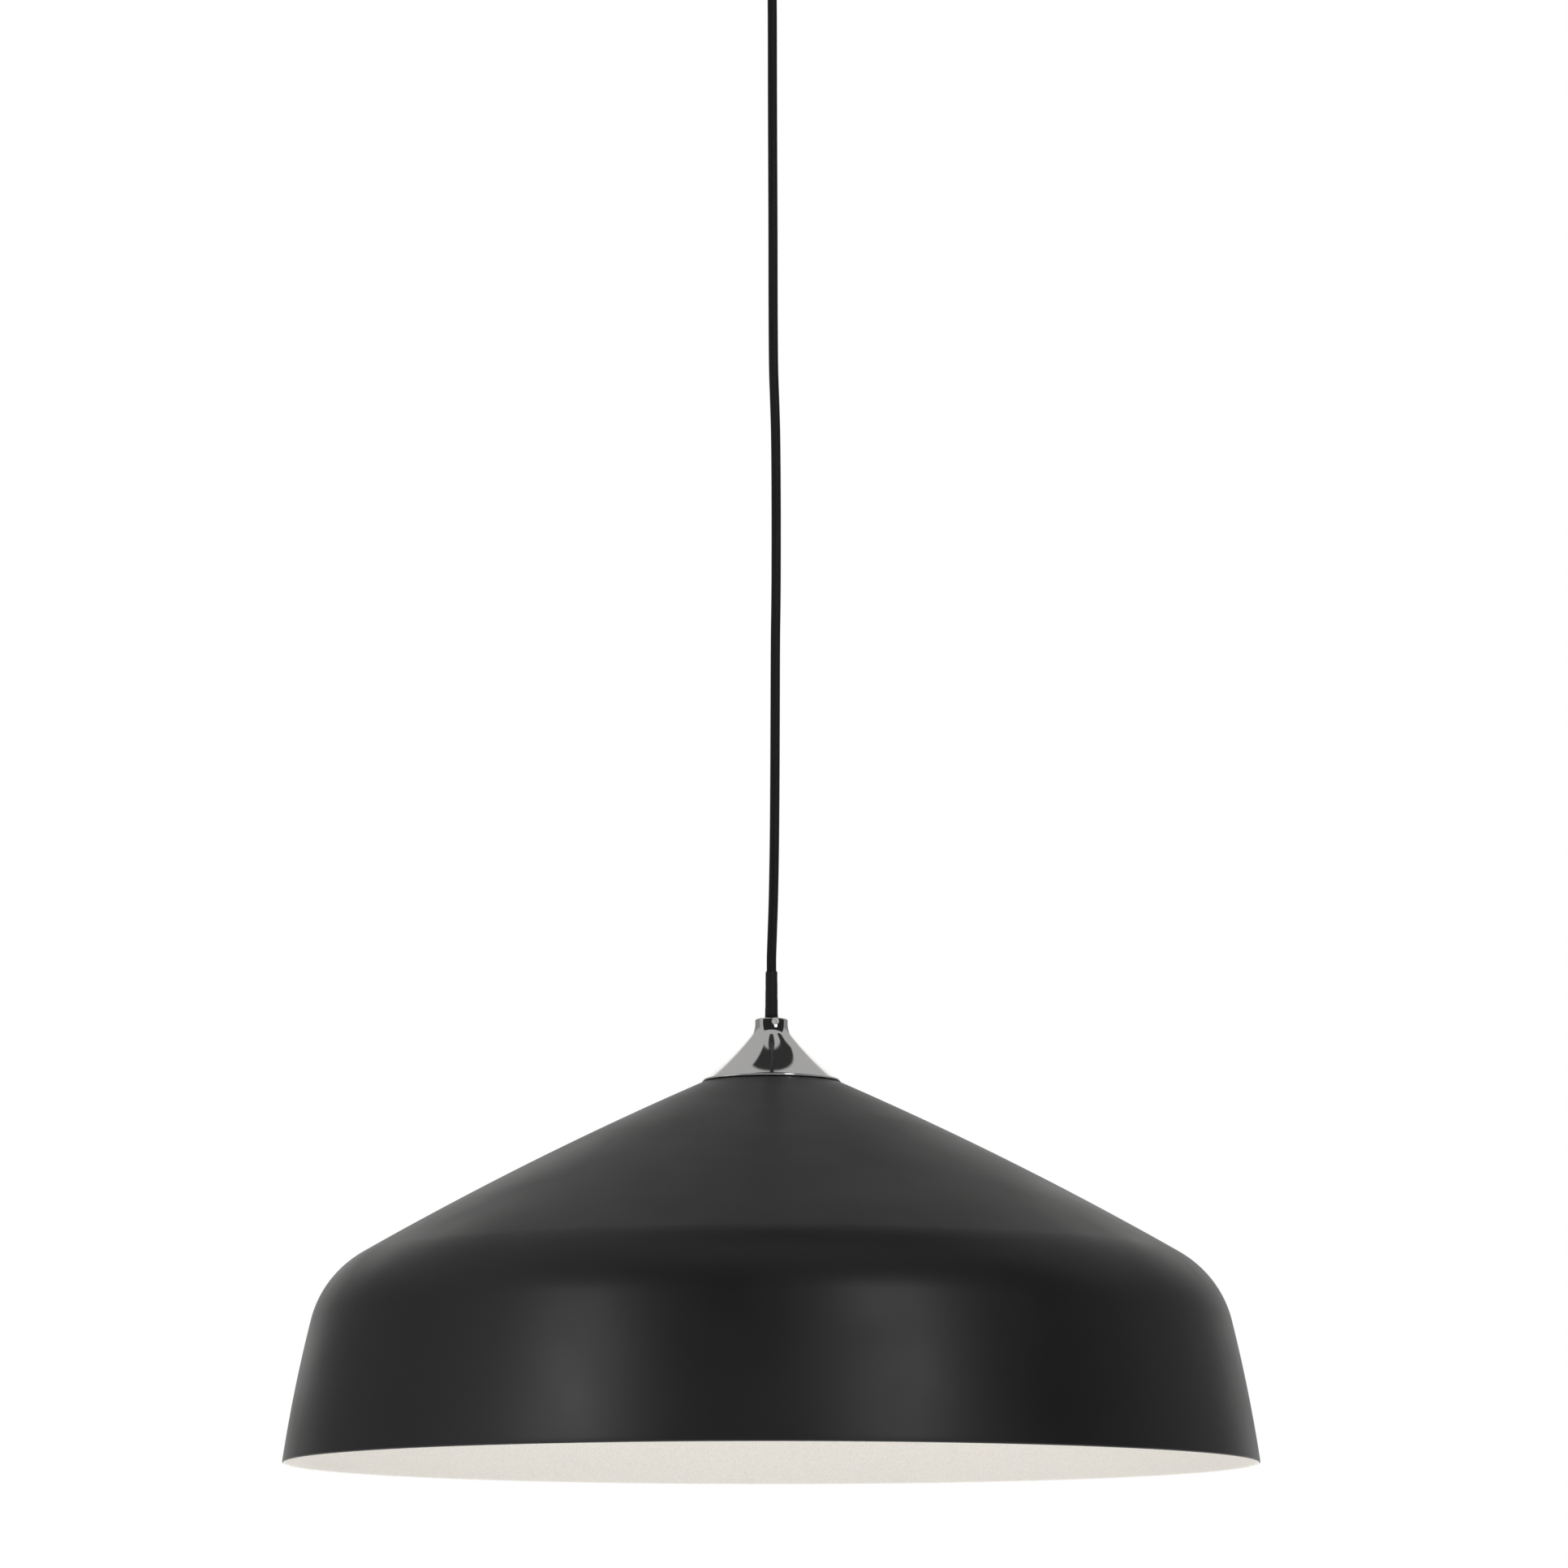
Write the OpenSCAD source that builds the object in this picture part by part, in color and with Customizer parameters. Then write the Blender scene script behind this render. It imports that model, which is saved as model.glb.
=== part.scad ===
// Pendant ceiling light: a spun dome shade with a chromed cap, hung on a thin
// round cord from a ceiling canopy. Millimetres. The origin is the centre of the
// ceiling face and +Z is up, so the whole light hangs below zero. Pieces of the
// head are drawn with zero at the rim of the shade and lowered by on_head().

/* [Hanging] */
// Distance from the ceiling down to the rim of the shade
drop = 675; // [675:1:700]

/* [Shade] */
// Diameter at the rim
shade_d = 400; // [370:1:430]
// Thickness of the spun wall
shade_wall = 1.2; // [0.8:0.1:1.6]
// Lean of the skirt from upright at the rim
rim_lean = 8; // [5:0.5:11]
// Lean of the skirt from upright where the shoulder begins
shoulder_lean = 13.4; // [12:0.1:17]
// Length of the skirt along its curve
skirt_len = 59; // [45:1:75]
// Radius of the shoulder
shoulder_r = 42.5; // [32:0.5:52]
// Slope of the cone where it leaves the shoulder
cone_slope = 30.2; // [28:0.1:33]
// Radius of the cone's slight crown
crown_r = 1530; // [1100:10:2500]
// Radius of the flat seat hidden under the cap
collar_r = 22; // [20:0.5:24]

/* [Chrome cap] */
// Diameter of the cap at its foot
cap_base_d = 58; // [54:0.5:64]
// Diameter of the neck
cap_neck_d = 14; // [13:0.1:16]
// Height of the straight part of the neck
cap_neck_len = 1.2; // [0.6:0.1:6]
// Radius of the hollow between the neck and the flare
cap_fillet_r = 8; // [6:0.5:10]
// Slope of the flare under the neck
flare_top_slope = 50; // [46:0.5:54]
// Slope of the flare at the foot
flare_foot_slope = 35.5; // [33:0.5:38]
// Thickness of the cap's wall
cap_wall = 1.3; // [1:0.1:1.6]
// Length of the tapped boss inside the cap, below the neck
boss_len = 8; // [6:0.5:10]

/* [Cord] */
// Diameter of the round cord
cord_d = 4; // [3.5:0.1:4.2]
// Diameter of each insulated core
core_d = 1.6; // [1.2:0.1:1.8]

/* [Cord sleeve] */
// Wall of the sleeve at its upper end
sleeve_wall = 0.35; // [0.3:0.05:0.6]
// How much the sleeve widens down to its foot, on the radius
sleeve_taper = 0.3; // [0.2:0.05:0.5]
// Length of the sleeve that shows above the cap
sleeve_len = 20; // [15:0.5:24]
// Length of the sleeve held inside the neck
sleeve_held = 6; // [4:0.5:6.5]

/* [Neck screw] */
// Diameter of the nylon screw's shank
neck_screw_d = 2; // [1.6:0.1:2]
// Diameter of its head
neck_screw_head_d = 3; // [2.6:0.1:3.2]
// Height of its head
neck_screw_head_h = 1.1; // [0.8:0.1:1.4]
// Distance from the top of the neck to the screw's axis
neck_screw_below_top = 1.6; // [1.5:0.1:2.4]
// Turn of the screw round the neck from the front
neck_screw_turn = 13; // [0:1:40]

/* [Nipple and nut] */
// Outside diameter of the hollow threaded nipple
nipple_d = 10; // [9:0.1:10.5]
// Bore of the nipple
nipple_bore_d = 7.2; // [6.5:0.1:7.6]
// Outside diameter of the clamping washer
washer_d = 30; // [26:0.5:34]
// Thickness of the clamping washer
washer_t = 1.5; // [1:0.1:2]
// Width across the flats of the nut
nut_af = 14; // [13.5:0.1:16]
// Thickness of the nut
nut_h = 4; // [3:0.1:5]

/* [Lamp holder] */
// Outside diameter of the holder's dome
dome_d = 38; // [37:0.5:40]
// Height of the holder's dome
dome_h = 27; // [26:0.5:30]
// Diameter of the dome's tapped collar
holder_collar_d = 17; // [16:0.5:18]
// Height of the dome's tapped collar
holder_collar_h = 9; // [8:0.5:10]
// Wall of the moulded holder parts
holder_wall = 2.2; // [1.8:0.1:2.4]
// Thickness of the contact block
block_h = 7; // [6:0.5:9]
// Length of the skirt below the dome
holder_skirt_len = 34; // [31:0.5:34]
// Diameter of the holder's small steel screws
small_screw_d = 3; // [2.5:0.1:3]

/* [Screw thread of the bulb] */
// Pitch of the rolled thread
thread_pitch = 3.63; // [3.4:0.01:3.8]
// Diameter over the crests of the bulb's thread
thread_d = 26.2; // [25.8:0.1:26.4]
// Depth of the rolled thread
thread_depth = 0.9; // [0.7:0.05:0.95]
// Radial play between the bulb's thread and the holder's shell
thread_play = 0.4; // [0.35:0.05:0.5]
// Thickness of both rolled shells
shell_sheet = 0.4; // [0.3:0.05:0.5]

/* [Bulb] */
// Diameter of the bulb's globe
bulb_d = 60; // [55:0.5:62]
// Whole length of the bulb
bulb_len = 102; // [98:0.5:106]
// Wall of the bulb's moulded parts
bulb_wall = 1.5; // [1.2:0.1:2]
// Number of light-emitting chips
chip_count = 10; // [6:1:14]

/* [Canopy] */
// Diameter of the ceiling canopy
canopy_d = 100; // [96:1:120]
// Height of the ceiling canopy
canopy_h = 30; // [30:0.5:34]
// Thickness of the canopy's sheet
canopy_wall = 1; // [0.8:0.1:1.4]
// Radius of the canopy's lower edge
canopy_edge_r = 6; // [4:0.5:9]

/* [Ceiling bracket] */
// Width of the bracket's plate
plate_w = 60; // [60:1:70]
// Thickness of the bracket's sheet
plate_t = 2; // [1.6:0.1:2.2]
// Width of the bent tabs
tab_w = 14; // [10:0.5:16]
// How far the tabs reach down
tab_drop = 14; // [12:0.5:18]
// Width of the slots for the ceiling screws
slot_w = 5; // [4:0.1:5.5]
// Length of each slot
slot_len = 16; // [10:0.5:17]
// Distance between the middles of the two slots
slot_spacing = 60; // [58:0.5:62]
// Diameter of the hole for the house wiring
supply_hole_d = 16; // [12:0.5:18]
// Diameter of the screws in the side of the canopy
side_screw_d = 3; // [2.5:0.1:3.5]

/* [Cord outlet] */
// Diameter of the outlet bush's thread
bush_d = 10; // [9.5:0.1:11]
// Diameter of the bush's flange
flange_d = 20; // [18:0.5:22]
// Thickness of the bush's flange
flange_t = 4; // [4:0.1:4.6]
// Diameter of the bell mouth
mouth_d = 14; // [14:0.1:15.5]
// Length of the bush's thread above the flange
bush_len = 8.5; // [7.5:0.5:9]

/* [Cord clamp and terminals] */
// Length of the cord clamp along the cord
clamp_len = 14; // [12:0.5:15]
// Width of the cord clamp
clamp_w = 17; // [16:0.5:18]
// Thickness of each half of the cord clamp
clamp_half_h = 4; // [3.5:0.1:4.5]
// Length of the terminal block along the wires
terminal_len = 18; // [17:0.5:20]
// Distance between the two poles
pole_pitch = 9; // [8.8:0.1:10]
// Diameter of each brass insert
insert_d = 4.8; // [4.4:0.1:5]
// Bore of each brass insert
insert_bore_d = 2.6; // [2.2:0.1:2.8]

/* [Hidden] */

$fn = 96;
small = 0.01;         // overlap of cutting tools past a face
air = 0.2;            // play between pieces of different bodies that meet end to end
seat = 0.03;          // play under a piece that sits on a curved face
slip = 0.1;           // radial play of a piece pushed into a hole

// --- turning a heading along an arc ------------------------------------------
// Points [radius, height, heading] along an arc that starts at p with heading
// h0 and ends with heading h1. A positive radius bends left, a negative right.
function turn(p, h0, h1, r, n, first = 0) = [
    for (i = [first:n]) let (h = h0 + (h1 - h0) * i / n)
        [p[0] + r * (sin(h) - sin(h0)), p[1] + r * (cos(h0) - cos(h)), h]
];
// The same points moved to the left of their heading by t
function left_of(path, t) = [for (p = path) [p[0] - t * sin(p[2]), p[1] + t * cos(p[2])]];
function flat(path) = [for (p = path) [p[0], p[1]]];
function last(path) = path[len(path) - 1];

// --- shade profile -------------------------------------------------------------
rim_r = shade_d / 2;
skirt_arc_r = skirt_len / ((shoulder_lean - rim_lean) * PI / 180);
skirt_path = turn([rim_r, 0], 90 + rim_lean, 90 + shoulder_lean, skirt_arc_r, 6);
shoulder_path = turn(last(skirt_path), 90 + shoulder_lean, 180 - cone_slope, shoulder_r, 12, 1);
cone_start = last(shoulder_path);
function crown_heading(r) = 180 - asin(sin(cone_slope) + (r - cone_start[0]) / crown_r);
function crown_z(r) = cone_start[1] + crown_r * (-cos(cone_slope) - cos(crown_heading(r)));
crown_path = turn(cone_start, 180 - cone_slope, crown_heading(collar_r), crown_r, 12, 1);
shade_path = concat(skirt_path, shoulder_path, crown_path);
collar_z = last(crown_path)[1];
shade_hole_r = nipple_d / 2 + slip;

// --- cap profile ---------------------------------------------------------------
cap_edge_r = 0.5;
neck_edge_r = 0.8;
neck_r = cap_neck_d / 2;
edge_c_r = cap_base_d / 2 - cap_edge_r;
edge_c_z = crown_z(edge_c_r) + (cap_edge_r + seat) / cos(180 - crown_heading(edge_c_r));
edge_path = turn([edge_c_r, edge_c_z - cap_edge_r], 0, 180 - flare_foot_slope, cap_edge_r, 8);
flare_r = (last(edge_path)[0] - neck_r - cap_fillet_r * (1 - sin(flare_top_slope)))
    / (sin(flare_top_slope) - sin(flare_foot_slope));
flare_path = turn(last(edge_path), 180 - flare_foot_slope, 180 - flare_top_slope, -flare_r, 12);
fillet_path = turn(last(flare_path), 180 - flare_top_slope, 90, -cap_fillet_r, 10, 1);
neck_edge_z = last(fillet_path)[1] + cap_neck_len;
neck_path = turn([neck_r, neck_edge_z], 90, 180, neck_edge_r, 6);
cap_top = neck_edge_z + neck_edge_r;
cap_hollow = left_of(flare_path, cap_wall);
cap_hollow_line = flat(cap_hollow);
neck_screw_seat_r = neck_r - 0.3;
boss_r = neck_r;
boss_bottom = last(cap_hollow)[1] - boss_len;
sleeve_top_r = cord_d / 2 + slip + sleeve_wall;
sleeve_foot_r = sleeve_top_r + sleeve_taper;
neck_bore_r = sleeve_foot_r + slip;
sleeve_bottom = cap_top - sleeve_held;
neck_bore_end = sleeve_bottom - slip;
nipple_top = neck_bore_end - 0.5;

// --- stack below the shade -------------------------------------------------------
washer_top = collar_z - shade_wall;
nut_top = washer_top - washer_t;
dome_top = nut_top - nut_h;
dome_bottom = dome_top - dome_h;
nipple_bottom = dome_top - holder_collar_h - 2;
head_cord_bottom = nipple_bottom - 2;
block_bottom = dome_bottom - block_h;
holder_skirt_bottom = dome_bottom - holder_skirt_len;
dome_shoulder_r = (dome_d - holder_collar_d) / 2 - 0.5;
dome_inner_r = dome_d / 2 - holder_wall;
block_r = dome_d / 2 - 1.5;
holder_skirt_r = dome_d / 2 + 1.5;
holder_post_x = 10;       // the holder's terminals, left and right of its axis
holder_post_w = 5;
holder_post_h = 6;
contact_post_r = 1.5;     // the post of the centre contact through the block
rivet_r = 1.2;            // the rivet from the other terminal down to the shell
lock_screw_z = dome_top - holder_collar_h / 2;

// --- bulb ------------------------------------------------------------------------
contact_drop = 1.1;       // how far the centre contact reaches below its block
bulb_tip_z = block_bottom - contact_drop - 0.3;
bulb_r = bulb_d / 2;
globe_z = bulb_tip_z - bulb_len + bulb_r;
thread_root_r = thread_d / 2 - thread_depth;
thread_top = bulb_tip_z - 6.5;
thread_turns = 5;
thread_bottom = thread_top - thread_turns * thread_pitch;
screw_cap_bottom = thread_bottom - 1.4;
shell_play_r = thread_d / 2 + thread_play;
shell_bottom = holder_skirt_bottom + 3;
insulator_r = 7.6;
screw_cap_mouth_r = insulator_r + 0.4;
bulb_plug_r = 11.3;
globe_join_angle = 30;    // where the globe meets the body, above its equator
globe_join_r = bulb_r * cos(globe_join_angle);
globe_join_z = globe_z + bulb_r * sin(globe_join_angle);
bulb_shoulder_z = screw_cap_bottom - 0.5;
bulb_shoulder_r = 14.4;
board_t = 1.6;
board_top = globe_join_z + 3.5;
function bulb_cone_r(z) = globe_join_r
    + (bulb_shoulder_r - globe_join_r) * (z - globe_join_z) / (bulb_shoulder_z - globe_join_z);
board_r = bulb_cone_r(board_top) - 1.2 * bulb_wall;
chip_ring_r = board_r * 0.66;
chip_size = 2.8;
chip_t = 0.8;
driver_w = 18;
driver_t = 1.2;

// --- ceiling fitting ---------------------------------------------------------------
canopy_r = canopy_d / 2;
canopy_inner_r = canopy_r - canopy_wall;
canopy_floor = canopy_wall - canopy_h;
tab_x = sqrt(pow(canopy_inner_r, 2) - pow(tab_w / 2, 2)) - slip;
side_screw_z = -8;
side_screw_len = 6;
pivot_z = -canopy_h;              // the cord bends here, inside the bell mouth
mouth_z = pivot_z - flange_t;
bush_top = bush_len - canopy_h;
bush_bore_r = cord_d / 2 + 0.3;
bush_nut_h = 4;
bush_nut_af = bush_d + 5;
clamp_top = -plate_t;
cord_line_z = clamp_top - clamp_half_h;
clamp_bottom = cord_line_z - clamp_half_h;
clamp_near = -15;                 // the clamp runs from here away from the middle
clamp_screw_x = 5.6;
clamp_screw_d = 3;
terminal_near = 12;               // and the terminal block from here, the other way
terminal_h = 11;
terminal_w = pole_pitch + insert_d + 2.4;
pole_z = -plate_t - 4.8;
insert_margin = 1;
terminal_screw_d = 2.6;
terminal_screw_len = 3.6;
terminal_screw_in = 4.4;          // from each end of the insert
sleeve_top_z = cap_top + sleeve_len - drop;

// --- cord routes, points chosen by hand, measured from the ceiling -------------------
flex_route = [
    [0, 0, -32.2], [0, 0, -40], [0.2, 0, -60], [0.3, 0, -100], [0.5, 0, -150],
    [0.6, 0, -190], [0.8, 0, -214], [1.3, 0, -230], [1.7, 0, -246], [1.9, 0, -272],
    [1.9, 0, -300], [1.8, 0, -316], [1.6, 0, -332], [1.5, 0, -360], [1.4, 0, -388],
    [1.2, 0, -416], [0.8, 0, -440], [0.3, 0, -456], [0, 0, sleeve_top_z + 6],
    [0, 0, sleeve_top_z + air],
];
canopy_route = [
    [0, 0, -27.8], [0, 0, -24], [0, 0, -21], [0, -1.1, -15.3], [0, -4.4, -10.4],
    [0, -9.3, -7.1], [0, -15, -6], [0, -20, -6], [0, -25, -6], [0, -30, -6],
];
core_route = [
    [0.9, -30, -6], [1.6, -33, -6], [4, -35.5, -6.3], [8, -36, -6.8], [12, -33, -7.2],
    [13.5, -27, -7.4], [13.5, -18, -7.4], [13.5, -8, -7.4], [12.4, 0, -7.2], [9.5, 5, -7],
    [6.4, 8, -6.8], [4.7, 11, -6.8], [4.5, 15, -6.8], [4.5, 19, -6.8],
];

// Points of a smooth curve through a route, k to each stretch
function curve_at(a, b, c, d, t) = 0.5 * (2 * b + (c - a) * t
    + (2 * a - 5 * b + 4 * c - d) * t * t + (3 * b - a - 3 * c + d) * t * t * t);
function smooth(route, k) = let (n = len(route)) concat(
    [for (i = [0:n - 2]) for (j = [0:k - 1])
        curve_at(route[max(i - 1, 0)], route[i], route[i + 1], route[min(i + 2, n - 1)], j / k)],
    [route[n - 1]]);
function unit(v) = v / norm(v);

// A round tube along a path; side is any direction that the path never follows
module tube(path, d, sides, side = [0, 1, 0]) {
    n = len(path);
    rings = [for (i = [0:n - 1])
        let (t = unit(path[min(i + 1, n - 1)] - path[max(i - 1, 0)]),
             u = unit(cross(side, t)), v = cross(t, u))
        for (j = [0:sides - 1]) let (a = 360 * j / sides)
            path[i] + d / 2 * (cos(a) * u + sin(a) * v)];
    walls = [for (i = [0:n - 2]) for (j = [0:sides - 1])
        let (a = i * sides + j, b = i * sides + (j + 1) % sides)
        for (f = [[a, a + sides, b + sides], [a, b + sides, b]]) f];
    ends = [[for (j = [0:sides - 1]) j], [for (j = [sides - 1:-1:0]) (n - 1) * sides + j]];
    polyhedron(points = rings, faces = concat(walls, ends), convexity = 8);
}

// A closed wall swept once round the axis; loop(a) gives its section at angle a
module ring_of(section_at_angles, sides) {
    m = len(section_at_angles[0]);
    points = [for (i = [0:sides - 1]) let (a = 360 * i / sides)
        for (p = section_at_angles[i]) [p[0] * cos(a), p[0] * sin(a), p[1]]];
    faces = [for (i = [0:sides - 1]) for (j = [0:m - 1])
        let (a = i * m + j, b = ((i + 1) % sides) * m + j,
             c = ((i + 1) % sides) * m + (j + 1) % m, d = i * m + (j + 1) % m)
        for (f = [[a, c, b], [a, d, c]]) f];
    polyhedron(points = points, faces = faces, convexity = 8);
}

thread_sides = 24;
thread_steps = 6;         // rings to each turn of the thread
// Height of the thread's wave, from 0 in a groove to 1 on a crest, at angle a
// and height z. It dies away over one turn at both ends.
function wave(a, z, low, high) = let (pitches = min(z - low, high - z) / thread_pitch)
    max(0, min(1, pitches)) * (1 + cos(360 * z / thread_pitch - a)) / 2;
function steps(low, high) = let (n = ceil((high - low) / thread_pitch * thread_steps))
    [for (i = [0:n]) low + (high - low) * i / n];

module on_head() {
    translate([0, 0, -drop]) children();
}

module hole(r, low, high) {
    translate([0, 0, low - small]) cylinder(r = r, h = high - low + 2 * small);
}

module along_x(z, r, length) {
    translate([-length / 2, 0, z]) rotate([0, 90, 0]) cylinder(r = r, h = length);
}

module along_y(x, y, z, r, length) {
    translate([x, y, z]) rotate([-90, 0, 0]) cylinder(r = r, h = length);
}

module slotted_screw(d, length, head_d, head_h) {
    difference() {
        union() {
            translate([0, 0, -small]) cylinder(d = d, h = length + small);
            translate([0, 0, -head_h]) cylinder(d = head_d, h = head_h);
        }
        translate([-head_d, -0.3, -head_h - small]) cube([2 * head_d, 0.6, head_h / 2]);
    }
}

// --- ceiling fitting -----------------------------------------------------------------

module ceiling_bracket() {
    color("silver")
    difference() {
        intersection() {
            union() {
                translate([-tab_x, -plate_w / 2, -plate_t]) cube([2 * tab_x, plate_w, plate_t]);
                for (s = [-1, 1])
                    translate([s * (tab_x - plate_t / 2) - plate_t / 2, -tab_w / 2, -tab_drop])
                        cube([plate_t, tab_w, tab_drop]);
            }
            translate([0, 0, -tab_drop - 1]) cylinder(r = canopy_inner_r - slip, h = tab_drop + 2);
        }
        for (s = [-1, 1]) translate([s * slot_spacing / 2, 0, -plate_t - small])
            linear_extrude(plate_t + 2 * small) slot_outline(slot_len, slot_w);
        hole(supply_hole_d / 2, -plate_t, 0);
        along_x(side_screw_z, side_screw_d / 2, 2 * canopy_d);
        at_clamp_screws() hole(clamp_screw_d / 2, -plate_t, 0);
        translate([0, terminal_near + terminal_len / 2, 0]) hole(small_screw_d / 2, -plate_t, 0);
    }
}

module slot_outline(length, width) {
    square([length - width, width], center = true);
    for (s = [-1, 1]) translate([s * (length - width) / 2, 0]) circle(d = width);
}

module canopy_cover() {
    outer = turn([canopy_r - canopy_edge_r, -canopy_h], 0, 90, canopy_edge_r, 10);
    color([0.1, 0.1, 0.1])
    difference() {
        rotate_extrude() polygon(concat([[0, -canopy_h]], flat(outer), [[canopy_r, 0],
            [canopy_inner_r, 0]], [for (i = [len(outer) - 1:-1:0])
            left_of(outer, canopy_wall)[i]], [[0, canopy_floor]]));
        hole(bush_d / 2 + slip, -canopy_h, canopy_floor);
        along_x(side_screw_z, side_screw_d / 2 + slip, 2 * canopy_d);
    }
}

module canopy_side_screws() {
    color([0.12, 0.12, 0.12])
    for (s = [0, 180]) rotate([0, 0, s]) translate([canopy_r, 0, side_screw_z])
        rotate([0, -90, 0]) slotted_screw(side_screw_d, side_screw_len, side_screw_d + 2.4, 1.8);
}

module cord_bush() {
    mouth_r = mouth_d / 2;
    throat = pivot_z + 0.4;
    color([0.08, 0.08, 0.08])
    rotate_extrude() polygon([
        [bush_bore_r, bush_top], [bush_bore_r, throat], [bush_bore_r + 0.9, throat],
        [mouth_r - 0.5, mouth_z + 0.6], [mouth_r, mouth_z],
        [flange_d / 2 - 1, mouth_z], [flange_d / 2, mouth_z + 1],
        [flange_d / 2, -canopy_h], [bush_d / 2, -canopy_h], [bush_d / 2, bush_top],
    ]);
}

module hex_nut(across_flats, bore_r, height) {
    difference() {
        cylinder(r = across_flats / sqrt(3), h = height, $fn = 6);
        translate([0, 0, -small]) cylinder(r = bore_r, h = height + 2 * small);
    }
}

module bush_nut() {
    color("dimgray") translate([0, 0, canopy_floor]) hex_nut(bush_nut_af, bush_d / 2, bush_nut_h);
}

module at_clamp_screws() {
    for (s = [-1, 1]) translate([s * clamp_screw_x, clamp_near - clamp_len / 2, 0]) children();
}

module clamp_half(low, screw_hole_r) {
    far = clamp_near - clamp_len;
    difference() {
        translate([-clamp_w / 2, far, low]) cube([clamp_w, clamp_len, clamp_half_h]);
        along_y(0, far - 1, cord_line_z, cord_d / 2, clamp_len + 2);
        at_clamp_screws() hole(screw_hole_r, low, low + clamp_half_h);
    }
}

module clamp_base() {
    color("ivory") clamp_half(cord_line_z, clamp_screw_d / 2);
}

module clamp_saddle() {
    color("ivory") clamp_half(clamp_bottom, clamp_screw_d / 2 + slip);
}

module clamp_screws() {
    color("silver")
    at_clamp_screws() translate([0, 0, clamp_bottom])
        slotted_screw(clamp_screw_d, -clamp_bottom - 0.4, clamp_screw_d + 2.4, 1.6);
}

module at_poles() {
    for (s = [-1, 1]) translate([s * pole_pitch / 2, terminal_near, pole_z]) children();
}

module at_terminal_screws() {
    at_poles() for (y = [insert_margin + terminal_screw_in,
                         terminal_len - insert_margin - terminal_screw_in])
        translate([0, y, 0]) children();
}

module terminal_block() {
    low = -plate_t - terminal_h;
    color("white")
    difference() {
        translate([-terminal_w / 2, terminal_near, low]) cube([terminal_w, terminal_len, terminal_h]);
        at_poles() along_y(0, insert_margin, 0, insert_d / 2, terminal_len - 2 * insert_margin);
        at_poles() along_y(0, -1, 0, insert_bore_d / 2, terminal_len + 2);
        at_terminal_screws() translate([0, 0, -terminal_h])
            cylinder(d = terminal_screw_d + 0.6, h = terminal_h);
        translate([0, terminal_near + terminal_len / 2, 0]) hole(small_screw_d / 2, low, -plate_t);
    }
}

module terminal_inserts() {
    color("gold")
    difference() {
        at_poles() along_y(0, insert_margin, 0, insert_d / 2, terminal_len - 2 * insert_margin);
        at_poles() along_y(0, 0, 0, insert_bore_d / 2, terminal_len);
        at_terminal_screws() translate([0, 0, -insert_d]) cylinder(d = terminal_screw_d, h = insert_d);
    }
}

module terminal_screws() {
    tip = -core_d / 2 - slip;
    color("silver")
    at_terminal_screws() translate([0, 0, tip - terminal_screw_len]) difference() {
        cylinder(d = terminal_screw_d, h = terminal_screw_len);
        translate([-terminal_screw_d, -0.25, -small]) cube([2 * terminal_screw_d, 0.5, 0.8]);
    }
}

module terminal_fixing_screw() {
    low = -plate_t - terminal_h;
    color("silver")
    translate([0, terminal_near + terminal_len / 2, low])
        slotted_screw(small_screw_d, -low - 0.4, small_screw_d + 1.6, 1.4);
}

module canopy_cord() {
    color([0.06, 0.06, 0.06]) tube(smooth(canopy_route, 2), cord_d, 10, [1, 0, 0]);
}

module canopy_core_wires() {
    color("sienna") for (s = [0, 1]) mirror([s, 0, 0])
        tube(smooth(core_route, 2), core_d, 8, [0, 0, 1]);
}

// --- the hanging cord ------------------------------------------------------------------

module cord_bend() {
    color([0.06, 0.06, 0.06]) translate([0, 0, pivot_z]) sphere(d = cord_d);
}

module flex_cord() {
    color([0.06, 0.06, 0.06]) tube(smooth(flex_route, 3), cord_d, 10);
}

// --- head --------------------------------------------------------------------------------

module cord_sleeve() {
    bore = cord_d / 2 + slip;
    top = cap_top + sleeve_len;
    color([0.16, 0.16, 0.16])
    on_head() rotate_extrude() polygon([
        [bore, sleeve_bottom], [sleeve_foot_r, sleeve_bottom], [sleeve_foot_r, cap_top + 0.8],
        [sleeve_foot_r - sleeve_taper / 3, cap_top + 2.4], [sleeve_top_r, top - 0.3],
        [sleeve_top_r - 0.2, top], [bore, top],
    ]);
}

module at_neck_screw() {
    rotate([0, 0, neck_screw_turn]) translate([0, 0, cap_top - neck_screw_below_top])
        rotate([90, 0, 0]) children();
}

module neck_screw() {
    start = sleeve_foot_r + seat;
    color("white")
    on_head() at_neck_screw() difference() {
        union() {
            translate([0, 0, start]) cylinder(d = neck_screw_d, h = neck_screw_seat_r - start);
            translate([0, 0, neck_screw_seat_r])
                cylinder(d = neck_screw_head_d, h = neck_screw_head_h);
        }
        translate([-0.25, -neck_screw_head_d, neck_screw_seat_r + neck_screw_head_h - 0.4])
            cube([0.5, 2 * neck_screw_head_d, 1]);
    }
}

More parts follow.
